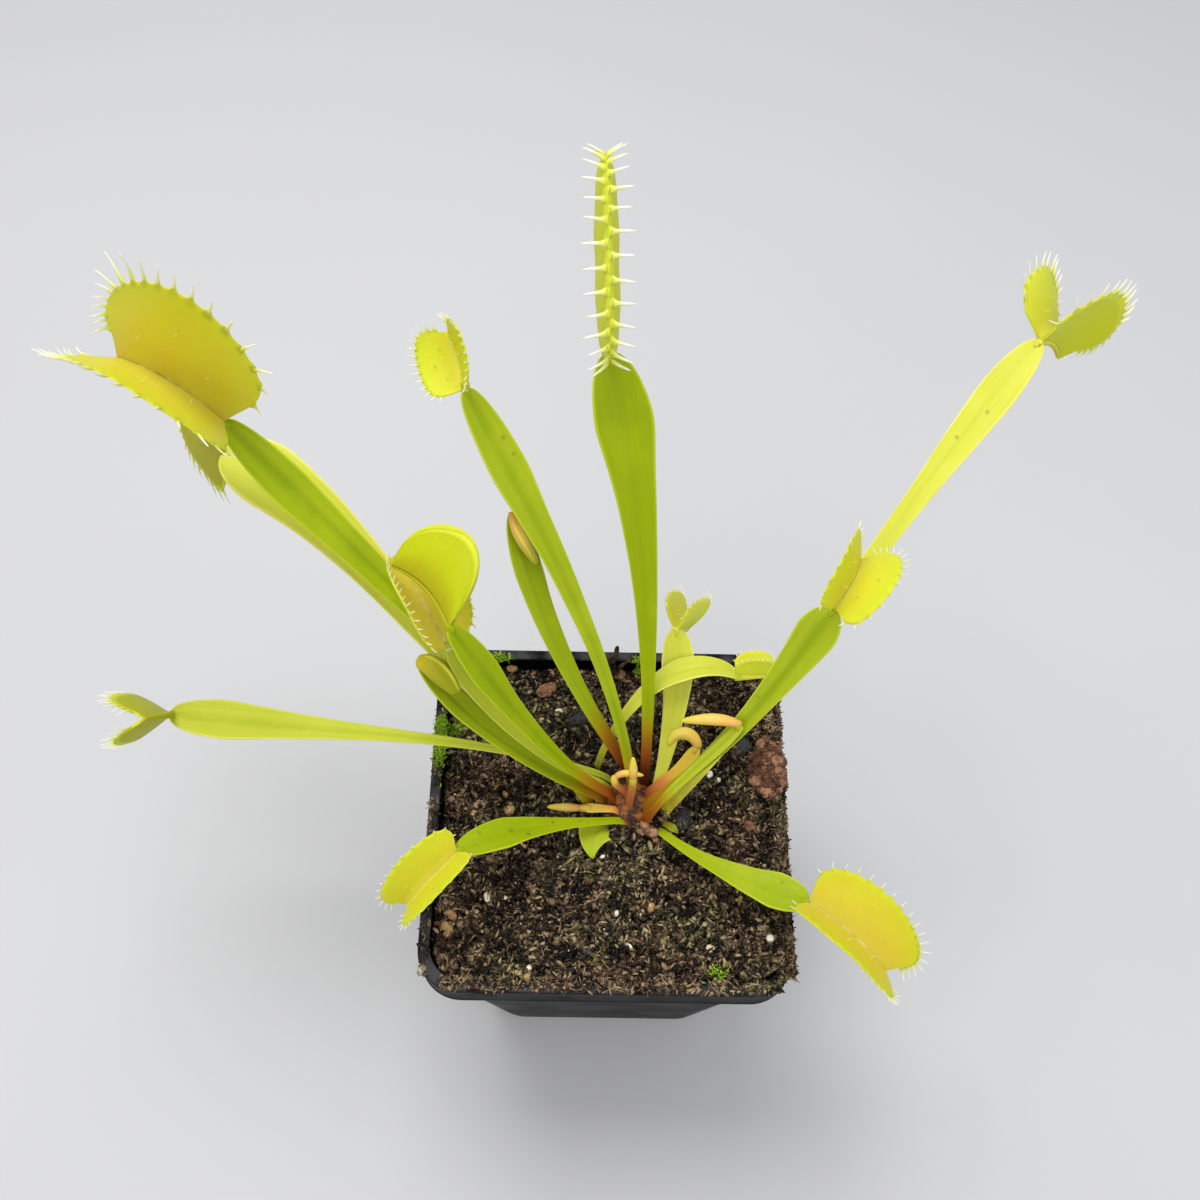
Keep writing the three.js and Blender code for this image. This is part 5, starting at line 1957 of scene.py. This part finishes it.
@dataclass
class Crown:
    """The low crown that every petiole rises from, wrapped in old leaf bases."""

    centre: Triple = (5.0, 3.5, 0.0)
    radius: float = 8.2
    top: float = 80.8
    foot: float = 62.0

    def dome(self) -> Skin:
        """The bulb: its profile turned about its axis, with lumps of 3 mm and fine ridges.

        Returns:
            The dome's skin.
        """
        r, foot, top = self.radius, self.foot, self.top
        rows = np.array([
            (0.05, foot), (0.45 * r, foot + 0.2), (0.85 * r, foot + 6), (r, foot + 12),
            (0.86 * r, top - 3.3), (0.66 * r, top - 1.5), (0.36 * r, top - 0.4), (0.05, top),
        ])
        at = np.linspace(0, len(rows) - 1, 44)
        wide, z = [np.interp(at, np.arange(len(rows)), column)[:, None] for column in rows.T]
        angle = turns(64)
        p = stacked(wide * np.cos(angle), wide * np.sin(angle), z)
        push = 0.3 * ripple(p, 2.6, 51) + 0.2 * ridges(p, 1.1, 52) - 0.3
        wide = np.maximum(wide + push * np.minimum(wide / 2, 1), 0.02)
        return lofted(stacked(wide * np.cos(angle), wide * np.sin(angle), z + 0.25 * push) + self.centre)

    def bases(self) -> Skin:
        """Old leaf bases: pointed scales that lean out from the dome, each a short bent strip.

        Returns:
            The scales' skin.
        """
        count, rng = 9, np.random.default_rng(55)
        turn = np.sort(rng.uniform(0, 2 * np.pi, count))
        out = rng.uniform(4.6, 7.6, count)
        q = np.linspace(0, 1, 9)[:, None]
        length = rng.uniform(1.5, 2.6, count)[:, None, None]
        radial = np.stack([np.cos(turn), np.sin(turn), 0 * turn], -1)
        side = np.cross((0, 0, 1.0), radial)[:, None, None]
        start = radial * out[:, None] + self.centre
        start[:, 2] = self.top - 0.055 * out**2 - 0.9
        radial = radial[:, None]
        rise = np.array([0, 0, 1.0])
        line = start[:, None] + rise * length * q * 0.6 + radial * length * (0.15 * q + 0.5 * q * q)
        half = rng.uniform(0.6, 1.0, count)[:, None, None] * np.sqrt(np.clip(1 - q**2.2, 0.01, 1))
        half = half[..., None]
        u = np.array([-1, -0.6, 0, 0.6, 1, 1, 0.6, 0, -0.6, -1.0])[:, None]
        thick = 0.16 * np.repeat([1.0, -1.0], 5)[:, None]
        rings = line[:, :, None] + side * u * half + radial[:, None] * (thick - 0.35 * u * u * half)
        return lofted(rings)

    def build(self) -> bpy.types.Object:
        """The crown's object, with the papery remains of an old leaf in front of it.

        Returns:
            The object.
        """
        remains = np.array([
            (8.6, -3.4, 80.2), (10.0, -4.8, 79.6), (9.2, -4.4, 80.3), (11.0, -6.2, 79.0), (7.9, -4.6, 79.5)
        ])
        lump = Lumps(remains, np.array([1.1, 1.2, 0.8, 0.9, 0.7]), np.zeros(5), 57, 12, 18, 0.7, 0.36)
        husk = CrownTissue("papery dried leaf base", "#A67E5E", "#6A442C", "#D8BCA4")
        finishes = [CrownTissue("fleshy crown tissue"), husk]
        skins = [self.dome(), self.bases(), lump.skin(1)]
        return piece("leaf_base_crown", skins, finishes, Slot.CROWN, ["crown"])


@dataclass
class DeadStalk:
    """A dark withered stalk that stands at the back rim."""

    start: Triple = (1.0, 37.4, 76.5)
    lean: Triple = (0.05, 0.32, 1.0)
    length: float = 9.0

    def build(self) -> bpy.types.Object:
        """A lumpy loft that narrows upwards, with two frayed side shoots.

        Returns:
            The object.
        """
        starts = np.array(self.start) + [(0, 0, 0), (0.8, 0, 0), (-0.8, 0.3, 0)]
        aims = unit(np.array([self.lean, (0.5, 0.2, 1.0), (-0.35, 0.25, 1.0)]))[:, None]
        length = self.length * np.array([1.0, 0.62, 0.55])[:, None, None]
        q = np.linspace(0, 1, 18)[:, None]
        side = unit(np.cross(aims, (0, 1.0, 0)))
        normal = np.cross(side, aims)
        line = starts[:, None] + aims * length * q + side * 0.5 * np.sin(5 * q)
        rough = 1 + 0.35 * ripple(tube(line, side, normal, 2.0, 2.0, 14), 1.2, 96)
        half = (1.25 - 0.8 * q) * rough * np.array([1, 0.6, 0.55])[:, None, None]
        skin = lofted(tube(line, side, normal, half, half, 14), 0.0, 0.0, (0.42, 0.0, 0.0))
        return piece("withered_stalk", [skin], [FIBRE], Slot.SOIL)


def dew_drops(leaves: Sequence[Leaf]) -> None:
    """Sets small drops of water on the upper face of some leaves.

    Args:
        leaves: the plant's leaves.
    """
    wanted = {
        "leaf_lower_left": [(0.46, 0.3), (0.62, -0.5), (0.86, 0.55), (0.9, -0.2), (0.7, 0.1), (0.3, 0.2)],
        "leaf_far_right": [(0.86, 0.2), (0.8, -0.3)],
        "leaf_right": [(0.62, -0.55)],
        "leaf_centre_left": [(0.88, 0.55), (0.84, 0.6)],
        "leaf_lower_right": [(0.84, -0.5)],
        "leaf_tall_centre": [(0.9, 0.1)],
    }
    spots = [(leaf, *np.array(wanted[leaf.name]).T) for leaf in leaves if leaf.name in wanted]
    centres = np.vstack([leaf.on_blade(s, u) for leaf, s, u in spots])
    sizes = np.concatenate([0.3 + 0.2 * ((s * 37) % 1) for _, s, _ in spots])
    drops = Lumps(centres, sizes, 0 * sizes, 99, 8, 12, 0.65, 0.03)
    piece("dew_drops", [drops.skin()], [Water("clear water")], Slot.GREEN)


# Studio


def stand(name: str, data: Any, axes: Sequence[Array], place: Any) -> bpy.types.Object:
    """Puts a camera or a light into the scene.

    Args:
        name: its name.
        data: its camera or light data.
        axes: its x, y and z axes.
        place: where it stands, in metres.

    Returns:
        The object.
    """
    made = bpy.data.objects.new(name, data)
    matrix = np.eye(4)
    matrix[:3] = np.column_stack([*axes, place])
    made.matrix_world = Matrix(matrix.tolist())
    bpy.context.scene.collection.objects.link(made)
    return made


@dataclass
class Studio:
    """A plain pale floor, soft light and the camera at the photograph's viewing angle.

    Angles are in degrees and place, the camera's, in mm; target, which the lights face, in metres.
    """

    focal_px: float = 1300.0
    image_px: float = 1200.0
    sensor: float = 36.0
    pitch: float = 60.84
    roll: float = 2.26
    heading: float = -1.374
    place: Triple = (-6.20, -103.87, 366.53)
    target: Triple = (0.0, 0.0, 0.09)

    def floor(self) -> None:
        """A pale floor as a thin closed slab whose top is at height zero."""
        slab = rounded_square([1600.0, 1600.0], [60.0, 60.0], [-4.0, 0.0])
        made = piece("studio_floor", [lofted(slab)], [FloorPaint("matt painted floor")], Slot.POT)
        made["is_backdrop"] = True

    def camera(self) -> None:
        """The camera: its axes from pitch, heading and roll."""
        r = np.radians(self.roll)
        ahead = direction(90.0 + self.heading, -self.pitch)
        right = direction(self.heading, 0.0)
        up = np.cross(right, ahead)
        axes = (np.cos(r) * right + np.sin(r) * up, np.cos(r) * up - np.sin(r) * right, -ahead)
        data = bpy.data.cameras.new("photo_camera")
        data.sensor_width, data.sensor_fit = self.sensor, "HORIZONTAL"
        data.lens = self.sensor * self.focal_px / self.image_px
        data.clip_start, data.clip_end = 0.01, 20.0
        bpy.context.scene.camera = stand("photo_camera", data, axes, np.array(self.place) / 1000)

    def light(self, name: str, place: Triple, size: float, power: float, tone: str) -> None:
        """One soft area light that faces the plant.

        Args:
            name: its name.
            place: where it hangs, in metres.
            size: its side in metres.
            power: its power in watts.
            tone: its colour.
        """
        data = bpy.data.lights.new(name, "AREA")
        data.shape, data.size, data.energy = "SQUARE", size, power
        data.color = linear(tone)[:3]
        back = unit(np.array(place) - np.array(self.target))
        side = unit(np.cross(np.array([0.0, 1.0, 0.001]), back))
        stand(name, data, (side, np.cross(back, side), back), place)

    def build(self) -> None:
        """Floor, camera, lights and the grey world."""
        self.floor()
        self.camera()
        self.light("soft_key", (-0.16, 0.36, 0.95), 0.55, 6.6, "#FFFFFF")
        self.light("soft_fill", (0.75, -0.35, 0.6), 0.9, 2.6, "#F6F8FF")
        self.light("soft_front", (-0.4, -0.7, 0.8), 0.9, 3.4, "#FFFDF6")
        world = bpy.data.worlds.new("studio_world")
        world.use_nodes = True
        sky = world.node_tree.nodes["Background"]
        sky.inputs["Color"].default_value = linear("#E9EAEC")
        sky.inputs["Strength"].default_value = 0.58
        bpy.context.scene.world = world


def main() -> None:
    """Builds the studio, the pot and its bed, the crown and every leaf."""
    logging.basicConfig(level=logging.INFO, format="%(message)s")
    bpy.context.scene.view_settings.view_transform = "Standard"
    Studio().build()
    Pot().build()
    bed = Bed()
    piece("peat_bed", [bed.skin()], [PEAT], Slot.SOIL, ["soil"])
    Topping(bed).build()
    DeadStalk().build()
    Crown().build()
    leaves = all_leaves()
    for leaf in leaves:
        leaf.build()
    dew_drops(leaves)
    sizes = {"cad": CAD_BOX, "dressed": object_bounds()}
    plain = {name: np.array(box, dtype=float).tolist() for name, box in sizes.items()}


if __name__ == "__main__":
    main()
